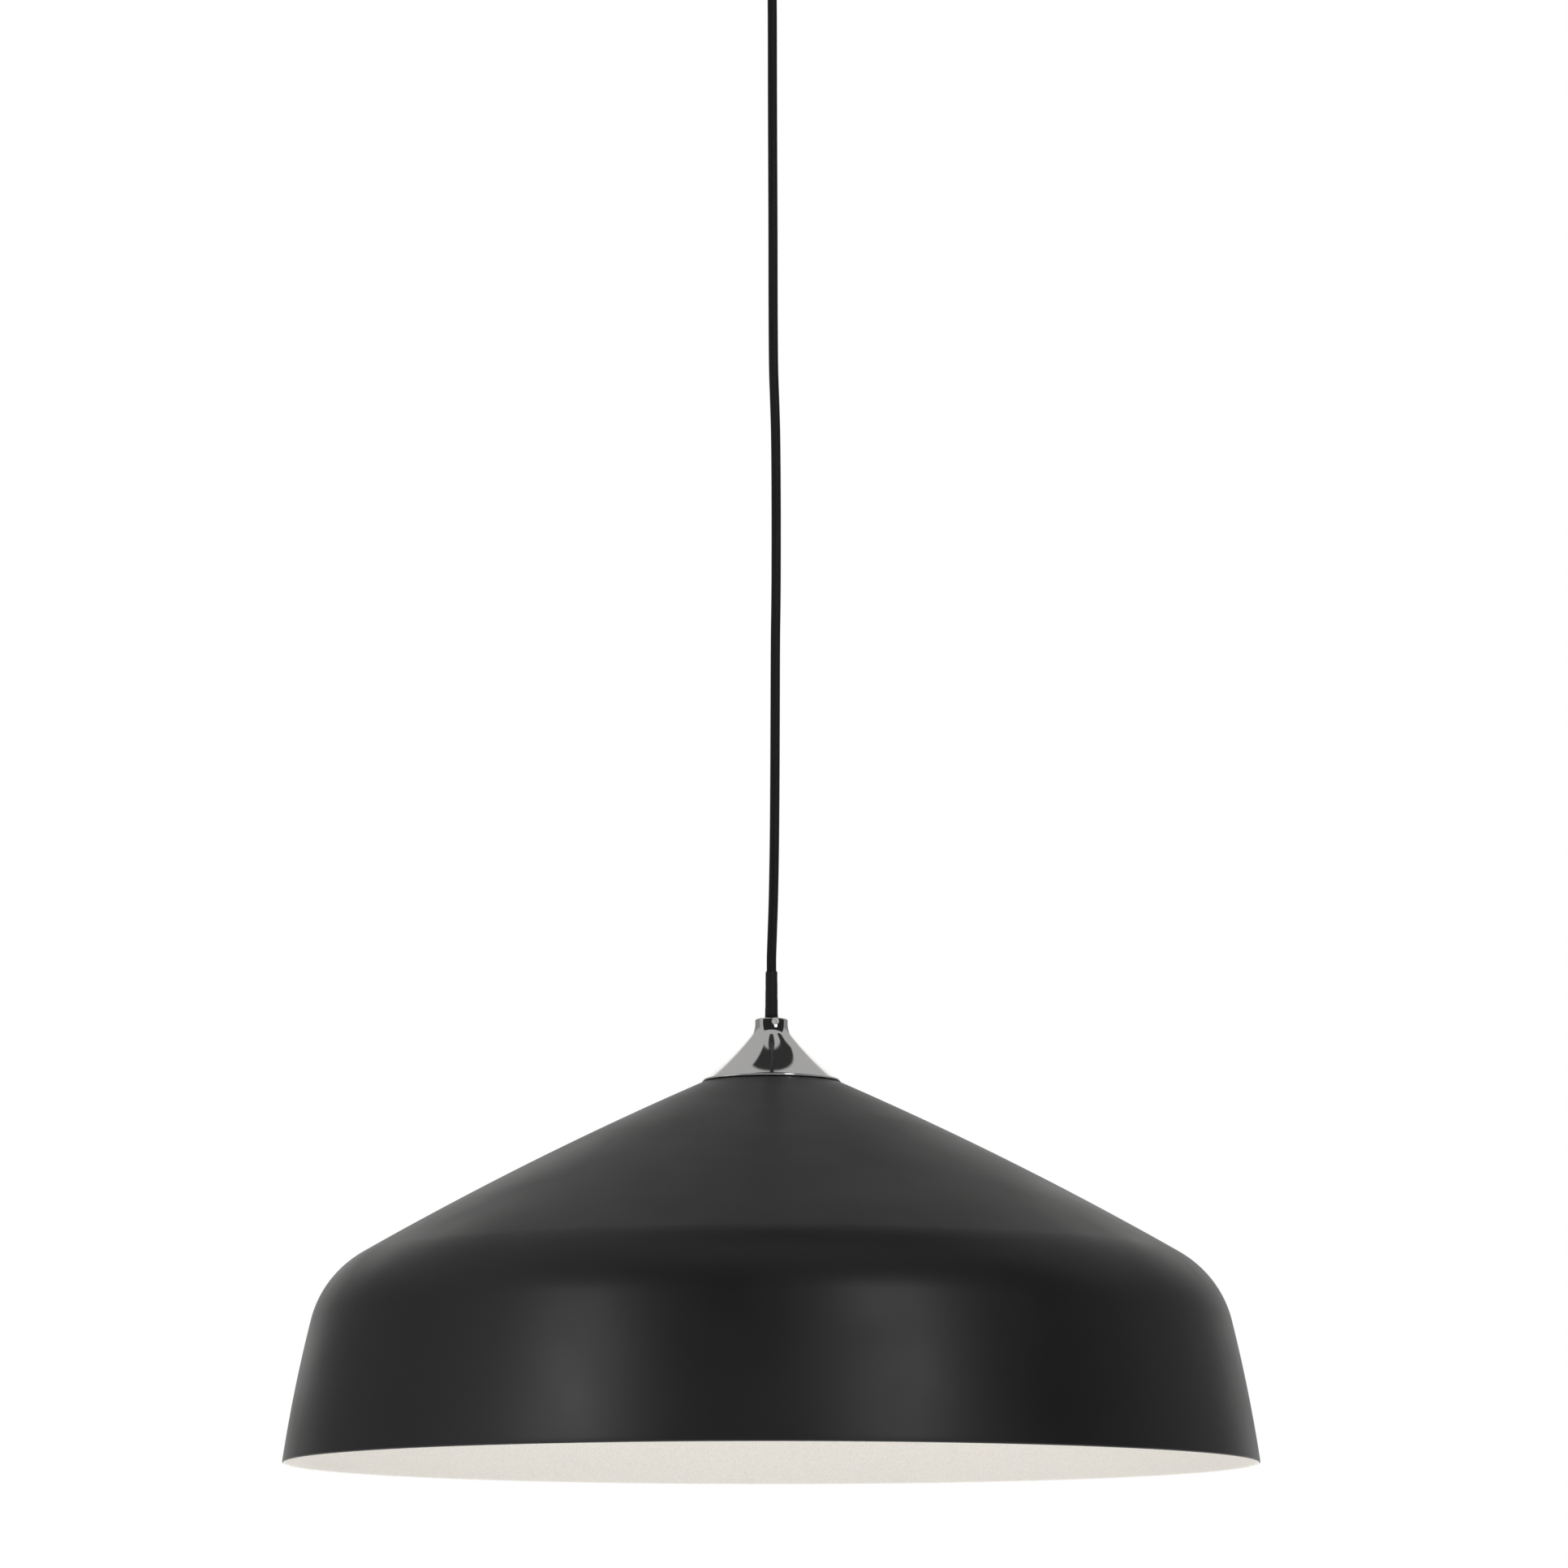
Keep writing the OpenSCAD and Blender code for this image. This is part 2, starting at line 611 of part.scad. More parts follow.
module chrome_cap() {
    low = edge_c_z - cap_edge_r;
    under = collar_z + seat;
    past = edge_c_r + 5;
    color("silver")
    on_head() difference() {
        rotate_extrude() polygon(concat(flat(edge_path), flat(flare_path), flat(fillet_path),
            flat(neck_path), [[0, cap_top], [0, low]]));
        rotate_extrude() polygon(concat([[cap_hollow[0][0] + 0.5, low - 1]], cap_hollow_line,
            [[boss_r, last(cap_hollow)[1]], [boss_r, boss_bottom], [0, boss_bottom], [0, low - 1]]));
        rotate_extrude() polygon([[0, under], [collar_r, under], [past, crown_z(past) + seat],
            [past, low - 5], [0, low - 5]]);
        hole(neck_bore_r, neck_bore_end, cap_top);
        hole(nipple_d / 2, boss_bottom, neck_bore_end);
        at_neck_screw() cylinder(d = neck_screw_d, h = cap_base_d);
        at_neck_screw() translate([0, 0, neck_screw_seat_r])
            cylinder(d = neck_screw_head_d + slip, h = cap_base_d);
    }
}

module head_cord() {
    color([0.06, 0.06, 0.06])
    on_head() translate([0, 0, head_cord_bottom])
        cylinder(d = cord_d, h = cap_top + sleeve_len - head_cord_bottom);
}

module hollow_nipple() {
    color("gold")
    on_head() difference() {
        translate([0, 0, nipple_bottom]) cylinder(d = nipple_d, h = nipple_top - nipple_bottom);
        hole(nipple_bore_d / 2, nipple_bottom, nipple_top);
    }
}

module shade() {
    inner = left_of(shade_path, shade_wall);
    n = len(inner);
    color([0.08, 0.08, 0.08])
    on_head() rotate_extrude() polygon(concat(flat(shade_path), [[shade_hole_r, collar_z],
        [shade_hole_r, collar_z - shade_wall], [collar_r - shade_wall, collar_z - shade_wall]],
        [for (i = [n - 1:-1:1]) inner[i]], [[rim_r - shade_wall / cos(rim_lean), 0]]));
}

module shade_washer() {
    color("silver")
    on_head() difference() {
        translate([0, 0, nut_top]) cylinder(d = washer_d, h = washer_t);
        hole(nipple_d / 2 + slip, nut_top, washer_top);
    }
}

module shade_nut() {
    color("gold")
    on_head() translate([0, 0, dome_top]) hex_nut(nut_af, nipple_d / 2, nut_h);
}

// --- lamp holder ---------------------------------------------------------------------------

module holder_dome() {
    collar_r_out = holder_collar_d / 2;
    arc_c = [collar_r_out + 0.5, dome_top - holder_collar_h - dome_shoulder_r];
    outer = turn([dome_d / 2, arc_c[1]], 90, 180, dome_shoulder_r, 10);
    inner = left_of(outer, holder_wall);
    color([0.07, 0.07, 0.07])
    on_head() difference() {
        rotate_extrude() polygon(concat([[dome_inner_r, dome_bottom], [dome_d / 2, dome_bottom]],
            flat(outer), [[collar_r_out, dome_top - holder_collar_h], [collar_r_out, dome_top],
            [nipple_d / 2, dome_top], [nipple_d / 2, last(inner)[1]]],
            [for (i = [len(inner) - 1:-1:0]) inner[i]]));
        translate([0, 0, lock_screw_z]) rotate([-90, 0, 0]) cylinder(d = small_screw_d, h = dome_d);
    }
}

module holder_lock_screw() {
    start = nipple_d / 2 + seat;
    length = holder_collar_d / 2 + 0.5 - start;
    color("silver")
    on_head() translate([0, start, lock_screw_z]) rotate([-90, 0, 0]) difference() {
        cylinder(d = small_screw_d, h = length);
        translate([-small_screw_d, -0.25, length - 0.6]) cube([2 * small_screw_d, 0.5, 1]);
    }
}

module holder_skirt() {
    over = 7.5;                                  // how far the skirt reaches over the dome
    lip = 2.5;                                   // height of the lip round the socket
    ledge = 1.6;                                 // height of the ledge under the block
    socket_r = shell_play_r + shell_sheet + 0.6;
    ledge_r = block_r - 1.8;
    inner_r = holder_skirt_r - holder_wall;
    top = dome_bottom + over;
    low = holder_skirt_bottom;
    color([0.07, 0.07, 0.07])
    on_head() rotate_extrude() polygon([
        [socket_r, low], [holder_skirt_r - 0.8, low], [holder_skirt_r, low + 0.8],
        [holder_skirt_r, top - 0.8], [holder_skirt_r - 0.8, top], [dome_d / 2, top],
        [dome_d / 2, dome_bottom], [block_r, dome_bottom], [block_r, block_bottom],
        [ledge_r, block_bottom], [ledge_r, block_bottom - ledge], [inner_r, block_bottom - 2 * ledge],
        [inner_r, low + lip], [socket_r, low + lip],
    ]);
}

module contact_block() {
    color("wheat")
    on_head() difference() {
        translate([0, 0, block_bottom]) cylinder(r = block_r, h = block_h);
        hole(contact_post_r, block_bottom, dome_bottom);
        translate([holder_post_x, 0, 0]) hole(rivet_r, block_bottom, dome_bottom);
    }
}

module at_holder_posts() {
    on_head() for (s = [-1, 1]) translate([s * holder_post_x, 0, dome_bottom]) children();
}

module holder_terminals() {
    post = holder_post_w;
    color("gold") {
        at_holder_posts() difference() {
            translate([-post / 2, -post / 2, 0]) cube([post, post, holder_post_h]);
            translate([0, 0, holder_post_h / 2]) rotate([0, 90, 0])
                cylinder(d = core_d + 0.2, h = 2 * post, center = true);
            translate([0, 0, holder_post_h / 2]) cylinder(d = small_screw_d, h = holder_post_h);
        }
        on_head() {
            translate([-holder_post_x, -2, dome_bottom]) cube([holder_post_x + 2, 4, 0.6]);
            translate([holder_post_x, 0, block_bottom]) cylinder(r = rivet_r, h = block_h + 1);
        }
    }
}

module holder_terminal_screws() {
    tip = holder_post_h / 2 + core_d / 2 + slip;
    color("silver")
    at_holder_posts() translate([0, 0, tip]) difference() {
        cylinder(d = small_screw_d, h = 3.2);
        translate([-small_screw_d, -0.25, 2.6]) cube([2 * small_screw_d, 0.5, 1]);
    }
}

module holder_core_wires() {
    bottom = dome_bottom + holder_post_h / 2;
    top = head_cord_bottom - small;
    reach = top - bottom;
    color("sienna")
    on_head() for (s = [0, 1]) mirror([s, 0, 0]) translate([0, 0, top]) tube(smooth([
        [core_d / 2 + 0.1, 0, 0], [core_d / 2 + 0.5, 0, -0.25 * reach],
        [holder_post_x * 0.35, 0, -0.62 * reach], [holder_post_x * 0.62, 0, -0.93 * reach],
        [holder_post_x - holder_post_w / 2, 0, -reach], [holder_post_x + 1, 0, -reach]], 3), core_d, 8);
}

module screw_shell() {
    top = block_bottom - shell_sheet;
    low = shell_bottom;
    levels = steps(low, top);
    inner = [for (i = [0:thread_sides - 1]) let (a = 360 * i / thread_sides)
        [for (z = levels) shell_play_r - thread_depth * (1 - wave_full(a, z, low, top))]];
    flange_r = 8.5;
    color("gold")
    on_head() ring_of([for (i = [0:thread_sides - 1]) concat(
        [for (k = [0:len(levels) - 1]) [inner[i][k] + shell_sheet, levels[k]]],
        [[last(inner[i]) + shell_sheet, block_bottom], [flange_r, block_bottom], [flange_r, top]],
        [for (k = [len(levels) - 1:-1:0]) [inner[i][k], levels[k]]])], thread_sides);
}

// The holder's side of the thread: 1 in its grooves and where it dies away
function wave_full(a, z, low, high) = let (pitches = min(z - low, high - z) / thread_pitch)
    1 - max(0, min(1, pitches)) * (1 - cos(360 * z / thread_pitch - a)) / 2;

module centre_contact() {
    color("gold")
    on_head() {
        translate([0, 0, block_bottom - contact_drop]) cylinder(r = 3.4, h = 0.5);
        translate([0, 0, block_bottom - contact_drop])
            cylinder(r = contact_post_r, h = contact_drop + block_h);
    }
}

// --- bulb ------------------------------------------------------------------------------------

module bulb_tip_contact() {
    color("silver")
    on_head() translate([0, 0, bulb_tip_z - 1]) cylinder(r1 = 4.6, r2 = 3.4, h = 1);
}

module bulb_insulator() {
    top = bulb_tip_z - 1;
    mouth = thread_top + 2.6;
    color([0.1, 0.1, 0.12])
    on_head() rotate_extrude() polygon([[0, mouth - 1.6], [insulator_r, mouth - 1.6],
        [insulator_r, mouth + 0.5], [5.4, top], [0, top]]);
}

module bulb_screw_cap() {
    mouth = thread_top + 2.6;
    levels = steps(thread_bottom, thread_top);
    n = len(levels);
    outer = [for (i = [0:thread_sides - 1]) let (a = 360 * i / thread_sides)
        [for (z = levels) thread_root_r + thread_depth * wave(a, z, thread_bottom, thread_top)]];
    in_r = screw_cap_mouth_r;
    color("silver")
    on_head() ring_of([for (i = [0:thread_sides - 1]) concat(
        [[thread_root_r, screw_cap_bottom]],
        [for (k = [0:n - 1]) [outer[i][k], levels[k]]],
        [[thread_root_r - 0.8, thread_top + 1], [in_r + 1, mouth], [in_r, mouth],
            [in_r, mouth - shell_sheet], [in_r + 1, mouth - shell_sheet],
            [thread_root_r - 1.3, thread_top + 0.6]],
        [for (k = [n - 1:-1:0]) [outer[i][k] - shell_sheet, levels[k]]],
        [[thread_root_r - shell_sheet, screw_cap_bottom]])], thread_sides);
}

module bulb_body() {
    wall = 1.2 * bulb_wall;
    plug_top = screw_cap_bottom + 5;
    color("white")
    on_head() rotate_extrude() polygon([
        [globe_join_r - wall, globe_join_z], [globe_join_r, globe_join_z],
        [bulb_shoulder_r, bulb_shoulder_z], [bulb_shoulder_r - 0.6, screw_cap_bottom],
        [bulb_plug_r, screw_cap_bottom], [bulb_plug_r, plug_top], [bulb_plug_r - 1.2, plug_top],
        [bulb_plug_r - 1.2, bulb_shoulder_z], [bulb_shoulder_r - wall, bulb_shoulder_z - 3],
        [board_r - 1.5, board_top + 2], [board_r - 1.5, board_top], [board_r, board_top],
    ]);
}

module bulb_diffuser() {
    inner_r = bulb_r - bulb_wall;
    inner_join = asin((globe_join_z - globe_z) / inner_r);
    outer = turn([0, globe_z - bulb_r], 0, 90 + globe_join_angle, bulb_r, 24);
    inner = turn([0, globe_z - inner_r], 0, 90 + inner_join, inner_r, 24);
    color([0.96, 0.96, 0.94])
    on_head() rotate_extrude() polygon(concat(flat(outer),
        [for (i = [24:-1:0]) [max(0, inner[i][0]), inner[i][1]]]));
}

module led_board() {
    color("lightgray")
    on_head() translate([0, 0, board_top - board_t]) cylinder(r = board_r, h = board_t);
}

module led_chips() {
    color("khaki")
    on_head() for (i = [0:chip_count - 1]) rotate([0, 0, 360 * i / chip_count])
        translate([chip_ring_r - chip_size / 2, -chip_size / 2, board_top - board_t - chip_t])
            cube([chip_size, chip_size, chip_t]);
}

module driver_board() {
    top = screw_cap_bottom + 3;
    color("darkgreen")
    on_head() {
        translate([-driver_w / 2, -driver_t / 2, board_top]) cube([driver_w, driver_t, top - board_top]);
        translate([0, driver_t / 2, board_top + 8]) rotate([-90, 0, 0]) cylinder(r = 4, h = 6);
    }
}

ceiling_bracket();
canopy_cover();
canopy_side_screws();
cord_bush();
bush_nut();
clamp_base();
clamp_saddle();
clamp_screws();
terminal_block();
terminal_inserts();
terminal_screws();
terminal_fixing_screw();
canopy_cord();
canopy_core_wires();
cord_bend();
flex_cord();
cord_sleeve();
neck_screw();
chrome_cap();
head_cord();
hollow_nipple();
shade();
shade_washer();
shade_nut();
holder_dome();
holder_lock_screw();
holder_skirt();
contact_block();
holder_terminals();
holder_terminal_screws();
holder_core_wires();
screw_shell();
centre_contact();
bulb_tip_contact();
bulb_insulator();
bulb_screw_cap();
bulb_body();
bulb_diffuser();
led_board();
led_chips();
driver_board();
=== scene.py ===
# %% [markdown]
# # A dome pendant light, given its surfaces and finishes
#
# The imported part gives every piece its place: a canopy on the ceiling, a thin
# cord, and a head with a trumpet cap, a spun dome shade, a lamp holder and a bulb.
# Here the pieces that show get smooth surfaces and real finishes.
#
# Nearly everything on this light was turned, spun, rolled or moulded round one
# axis. So one idea does most of the work: draw half of a section as a closed line,
# then turn it round the axis. The alternative, box modelling with subdivision,
# gives softer edges but never quite a true circle, and chrome shows that at once.
#
# Lengths are metres. `MM` turns drawing sizes, which are millimetres, into metres.
# Zero is the ceiling, and the light hangs below it. Pieces of the head are drawn
# from the rim of the shade upwards and then lowered by `RIM`.

import math

import bpy
import numpy as np
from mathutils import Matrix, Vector


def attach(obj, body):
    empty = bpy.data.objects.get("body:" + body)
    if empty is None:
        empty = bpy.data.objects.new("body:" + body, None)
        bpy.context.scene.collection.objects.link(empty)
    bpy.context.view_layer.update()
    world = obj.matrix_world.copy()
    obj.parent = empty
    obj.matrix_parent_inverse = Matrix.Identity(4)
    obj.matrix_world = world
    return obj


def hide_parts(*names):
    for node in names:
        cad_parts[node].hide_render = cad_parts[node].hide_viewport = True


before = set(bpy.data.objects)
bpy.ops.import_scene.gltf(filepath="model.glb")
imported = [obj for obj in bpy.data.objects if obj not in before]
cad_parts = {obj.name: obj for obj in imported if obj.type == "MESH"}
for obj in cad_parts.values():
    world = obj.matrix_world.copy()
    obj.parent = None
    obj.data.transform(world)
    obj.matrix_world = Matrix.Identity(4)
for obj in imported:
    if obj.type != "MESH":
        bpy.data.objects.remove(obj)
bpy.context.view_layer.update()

MM = 0.001
RIM = -675 * MM

# %% [markdown]
# ## Camera
#
# The camera stands well back and a little below the rim, and looks up through a
# long lens. From there the near edge of the shade hides the bulb, and a sliver of
# the white inside shows. A wide lens from close by would open the rim into a fat
# oval and make the cap look small.

# %% Camera
FOCAL_LENGTH = 133.6
CAMERA_RIGHT, CAMERA_AWAY, BELOW_RIM = 0.0052, 2.4, 0.1052
LOOKING_UP = 9.18

lens_data = bpy.data.cameras.new("long_lens")
lens_data.lens = FOCAL_LENGTH
lens_data.sensor_width = 36.0
lens_data.clip_start = 0.05
lens_data.clip_end = 50.0
camera = bpy.data.objects.new("camera", lens_data)
camera.location = (CAMERA_RIGHT, -CAMERA_AWAY, RIM - BELOW_RIM)
camera.rotation_euler = (math.radians(90 + LOOKING_UP), 0.0, 0.0)
bpy.context.scene.collection.objects.link(camera)
bpy.context.scene.camera = camera

print("camera", [round(v, 3) for v in camera.location], "lens", lens_data.lens)

# %% [markdown]
# ## The hanging cord
#
# A stiff little cord never hangs quite straight: this one keeps a slight bow to
# the right from the reel it came off. Its line repeats the route of the part's own
# cord, point by point, and is rounded between the points in the same way, with a
# Catmull-Rom curve. It leaves the bell mouth of the canopy and ends on the cord
# inside the sleeve.

# %% Cord
CORD_D = 4 * MM
SHARP_FROM = 50

CORD_ROUTE = np.array([
    (0.0, 0, -32.2), (0.0, 0, -40), (0.2, 0, -60), (0.3, 0, -100), (0.5, 0, -150),
    (0.6, 0, -190), (0.8, 0, -214), (1.3, 0, -230), (1.7, 0, -246), (1.9, 0, -272),
    (1.9, 0, -300), (1.8, 0, -316), (1.6, 0, -332), (1.5, 0, -360), (1.4, 0, -388),
    (1.2, 0, -416), (0.8, 0, -440), (0.3, 0, -456), (0.0, 0, -465.3), (0.0, 0, -471.1),
]) * MM


def rounded(route, steps):
    """A smooth line through every point of a route: on each stretch, the cubic
    whose slope at a point is half the step between that point's neighbours."""
    p = np.vstack([route[:1], route, route[-1:]])
    t = np.linspace(0, 1, steps, endpoint=False)[:, None, None]
    a, b, c, d = p[:-3], p[1:-2], p[2:-1], p[3:]
    line = 0.5 * (2 * b + (c - a) * t + (2 * a - 5 * b + 4 * c - d) * t**2
                  + (3 * b - a - 3 * c + d) * t**3)
    return np.vstack([line.transpose(1, 0, 2).reshape(-1, 3), route[-1:]])


def new_piece(name, points, faces, slots=None):
    """A mesh object from points in metres and lists of corners. It is shaded
    smooth, except over edges where the faces turn by more than SHARP_FROM."""
    mesh = bpy.data.meshes.new(name)
    mesh.from_pydata(np.asarray(points).tolist(), [], faces)
    if slots is not None:
        mesh.polygons.foreach_set("material_index", slots)
    mesh.shade_smooth()
    mesh.set_sharp_from_angle(angle=math.radians(SHARP_FROM))
    piece = bpy.data.objects.new(name, mesh)
    bpy.context.scene.collection.objects.link(piece)
    return piece


def round_cord(name, line, diameter, sides=32):
    """A round tube along a line that never runs front to back. Round each point
    of the line lies a ring, square to the direction from the point before to the
    point after; both ends are closed."""
    along = np.gradient(line, axis=0)
    along /= np.linalg.norm(along, axis=1, keepdims=True)
    right = np.cross(along, (0.0, 1.0, 0.0))
    right /= np.linalg.norm(right, axis=1, keepdims=True)
    front = np.cross(right, along)
    a = np.linspace(0, 2 * np.pi, sides, endpoint=False)[None, :, None]
    spokes = np.cos(a) * right[:, None] + np.sin(a) * front[:, None]
    rings = line[:, None] + diameter / 2 * spokes
    i, j = np.meshgrid(np.arange(len(line) - 1), np.arange(sides), indexing="ij")
    j1 = (j + 1) % sides
    quads = np.stack([i, i, i + 1, i + 1]) * sides + np.stack([j1, j, j, j1])
    first = np.arange(sides)
    ends = [first.tolist(), (first[::-1] + (len(line) - 1) * sides).tolist()]
    return new_piece(name, rings.reshape(-1, 3), quads.reshape(4, -1).T.tolist() + ends)


cord_line = rounded(CORD_ROUTE, 6)
hanging_cord = round_cord("hanging_cord", cord_line, CORD_D)
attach(hanging_cord, "drop")
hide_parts("flex_cord")

# %% [markdown]
# ## Sections
#
# A section is a line of (radius, height) points. `Pen` draws it as a lathe hand
# thinks of it: straight runs, and arcs that leave the last run tangentially and
# end at a given heading. Heading 0 points away from the axis and 90 straight up.
# It keeps the heading at each point, so a wall of even thickness is the same line
# moved sideways.

# %% Drawing sections


class Pen:
    """A section line in millimetres, drawn run by run."""

    def __init__(self, r, z, heading):
        self.points = [(r, z, heading)]

    def to(self, r, z, heading):
        """A straight run to a point, with its heading there."""
        self.points.append((r, z, heading))
        return self

    def bend(self, end, radius, steps=12):
        """An arc from the present heading to the heading end. A positive radius
        bends to the left: centre at right angles to the heading, and each point
        is the start plus radius times the change of (sine, minus cosine)."""
        r0, z0, start = self.points[-1]
        h = np.radians(np.linspace(start, end, steps + 1)[1:])
        h0 = math.radians(start)
        r = r0 + radius * (np.sin(h) - math.sin(h0))
        z = z0 + radius * (math.cos(h0) - np.cos(h))
        self.points += list(zip(r.tolist(), z.tolist(), np.degrees(h).tolist()))
        return self

    def line(self):
        """The points without their headings."""
        return np.array([(r, z) for r, z, _ in self.points])

    def beside(self, thickness):
        """The same line moved to the left of its heading."""
        p = np.array(self.points)
        h = np.radians(p[:, 2])
        return p[:, :2] + thickness * np.column_stack([-np.sin(h), np.cos(h)])

    @property
    def end(self):
        return self.points[-1][:2]


def softened(loop, radius, steps=5):
    """A closed section with every corner rounded. Each corner point becomes a
    short curve that starts and ends on its two sides, at most `radius` away and
    never past their middles: a quadratic curve with the corner as its handle."""
    loop = np.asarray(loop, float)
    before, after = np.roll(loop, 1, 0), np.roll(loop, -1, 0)

    def towards(other):
        step = other - loop
        length = np.linalg.norm(step, axis=1, keepdims=True)
        return loop + step * np.minimum(radius / np.maximum(length, 1e-9), 0.45)

    t = np.linspace(0, 1, steps)[:, None, None]
    curve = (1 - t) ** 2 * towards(before) + 2 * t * (1 - t) * loop + t**2 * towards(after)
    return curve.transpose(1, 0, 2).reshape(-1, 2)


# %% [markdown]
# Turning a section: point (i, j) of the surface is section point i carried round
# by j steps. The section is a closed loop, so the surface is closed too. Sections
# are drawn anticlockwise, with radius to the right and height up, which makes the
# faces look outwards. A section that runs along the axis is closed there by a
# ring of almost no radius.

# %% Turning them
NEAR_AXIS = 0.02


def grid_faces(rows, columns):
    """Quads of a surface that closes on itself in both directions."""
    i, j = np.meshgrid(np.arange(rows), np.arange(columns), indexing="ij")
    i1, j1 = (i + 1) % rows, (j + 1) % columns
    corners = np.stack([i * columns + j, i * columns + j1,
                        i1 * columns + j1, i1 * columns + j])
    return corners.reshape(4, -1).T.tolist()


def turned(name, section, around=192, lift=0.0, shape=None, slots=None):
    """A closed section carried round the axis. shape(radius, height, angle) may
    change the radii, for ribs and threads. slots gives each run of the section
    its material number."""
    section = np.asarray(section, float)
    area = 0.5 * np.sum(section[:, 0] * np.roll(section[:, 1], -1)
                        - np.roll(section[:, 0], -1) * section[:, 1])
    if area < 0:
        section = section[::-1]
        slots = None if slots is None else np.roll(np.asarray(slots)[::-1], -1)
    section[:, 0] = np.maximum(section[:, 0], NEAR_AXIS)
    angle = np.linspace(0, 2 * np.pi, around, endpoint=False)
    r = np.repeat(section[:, :1], around, axis=1)
    z = np.repeat(section[:, 1:], around, axis=1)
    a = np.repeat(angle[None, :], len(section), axis=0)
    if shape is not None:
        r = shape(r, z, a)
    points = np.stack([r * np.cos(a), r * np.sin(a), z], axis=-1).reshape(-1, 3) * MM
    points[:, 2] += lift
    faces = grid_faces(len(section), around)
    runs = None if slots is None else np.repeat(np.asarray(slots, np.int32), around)
    return new_piece(name, points, faces, runs)


# %% [markdown]
# ## Finishes
#
# Every finish is built from noise in the object's own coordinates, so it has a
# real size in metres and doesn't slide. `finish` makes a Principled material and
# hands back its tree; the helpers below hang grain, bumps and colour drift on it.
# A value that is the same all over is typed into the shader itself.

# %% Material helpers


def finish(name, colour, roughness, metallic=0.0, **more):
    """A Principled material. more sets other sockets by name, with _ for space."""
    material = bpy.data.materials.new(name)
    material.use_nodes = True
    tree = material.node_tree
    shader = tree.nodes["Principled BSDF"]
    shader.inputs["Base Color"].default_value = (*colour, 1.0)
    shader.inputs["Roughness"].default_value = roughness
    shader.inputs["Metallic"].default_value = metallic
    for key, value in more.items():
        shader.inputs[key.replace("_", " ")].default_value = value
    return material, tree, shader


def noise(tree, size, stretch=(1, 1, 1), detail=3.0):
    """Noise whose grains are about `size` metres, longer along stretched axes."""
    place = tree.nodes.new("ShaderNodeTexCoord")
    scale = tree.nodes.new("ShaderNodeMapping")
    scale.inputs["Scale"].default_value = [1 / (size * s) for s in stretch]
    grain = tree.nodes.new("ShaderNodeTexNoise")
    grain.inputs["Scale"].default_value = 1.0
    grain.inputs["Detail"].default_value = detail
    tree.links.new(place.outputs["Object"], scale.inputs["Vector"])
    tree.links.new(scale.outputs["Vector"], grain.inputs["Vector"])
    return grain.outputs["Fac"]


def spread(tree, value, low, high):
    """Maps a noise, which mostly lies between 0.3 and 0.7, to low..high."""
    node = tree.nodes.new("ShaderNodeMapRange")
    node.inputs["From Min"].default_value = 0.3
    node.inputs["From Max"].default_value = 0.7
    node.inputs["To Min"].default_value = low
    node.inputs["To Max"].default_value = high
    tree.links.new(value, node.inputs["Value"])
    return node.outputs["Result"]


def drift(tree, shader, value, first, second):
    """Colour that wanders between two shades."""
    node = tree.nodes.new("ShaderNodeMix")
    node.data_type = "RGBA"
    node.inputs["A"].default_value = (*first, 1.0)
    node.inputs["B"].default_value = (*second, 1.0)
    tree.links.new(spread(tree, value, 0.0, 1.0), node.inputs["Factor"])
    tree.links.new(node.outputs["Result"], shader.inputs["Base Color"])


def bumps(tree, shader, value, height, under=None):
    """Surface relief of a height in metres, on top of an earlier one if given."""
    node = tree.nodes.new("ShaderNodeBump")
    node.inputs["Distance"].default_value = height
    node.inputs["Strength"].default_value = 1.0
    tree.links.new(value, node.inputs["Height"])
    if under is not None:
        tree.links.new(under.outputs["Normal"], node.inputs["Normal"])
    tree.links.new(node.outputs["Normal"], shader.inputs["Normal"])
    return node


def roughly(tree, shader, value, low, high):
    """Roughness that wanders between two values."""
    tree.links.new(spread(tree, value, low, high), shader.inputs["Roughness"])


# %% [markdown]
# The finishes themselves. Powder coat is matt with a fine orange peel, and lets the
# level marks of spinning show through as very faint streaks. The inside of the
# shade is a smoother white enamel. A flat colour would give the right shade but no
# scale: it is the peel and the streaks that tell the eye this is painted metal.

# %% Paint


def powder_coat(name, colour, roughness=0.42, peel=0.9 * MM, height=0.012 * MM):
    """Paint with orange peel of one size and spinning streaks far longer than high."""
    material, tree, shader = finish(name, colour, roughness)
    broad = noise(tree, 40 * MM, detail=2.0)
    spun = noise(tree, 1.6 * MM, stretch=(120, 120, 1))
    first = bumps(tree, shader, noise(tree, peel, detail=2.0), height)
    bumps(tree, shader, spun, height, under=first)
    roughly(tree, shader, broad, roughness - 0.03, roughness + 0.03)
    lighter = tuple(min(1.0, c * 1.15) for c in colour)
    drift(tree, shader, noise(tree, 0.6 * MM, detail=2.0), colour, lighter)
    return material


black_coat = powder_coat("black_powder_coat", (0.0105, 0.0105, 0.0115))
white_enamel = powder_coat("white_enamel", (0.82, 0.795, 0.755), roughness=0.4,
                           peel=1.5 * MM, height=0.006 * MM)
print("paints:", black_coat.name, white_enamel.name)

# %% [markdown]
# Chrome keeps faint rings from polishing on the lathe, and is otherwise a mirror,
# so nearly all its looks come from the studio around it. The plated and plain
# metals of screws, threads and contacts are duller, and tarnish in soft patches.

# %% Metals


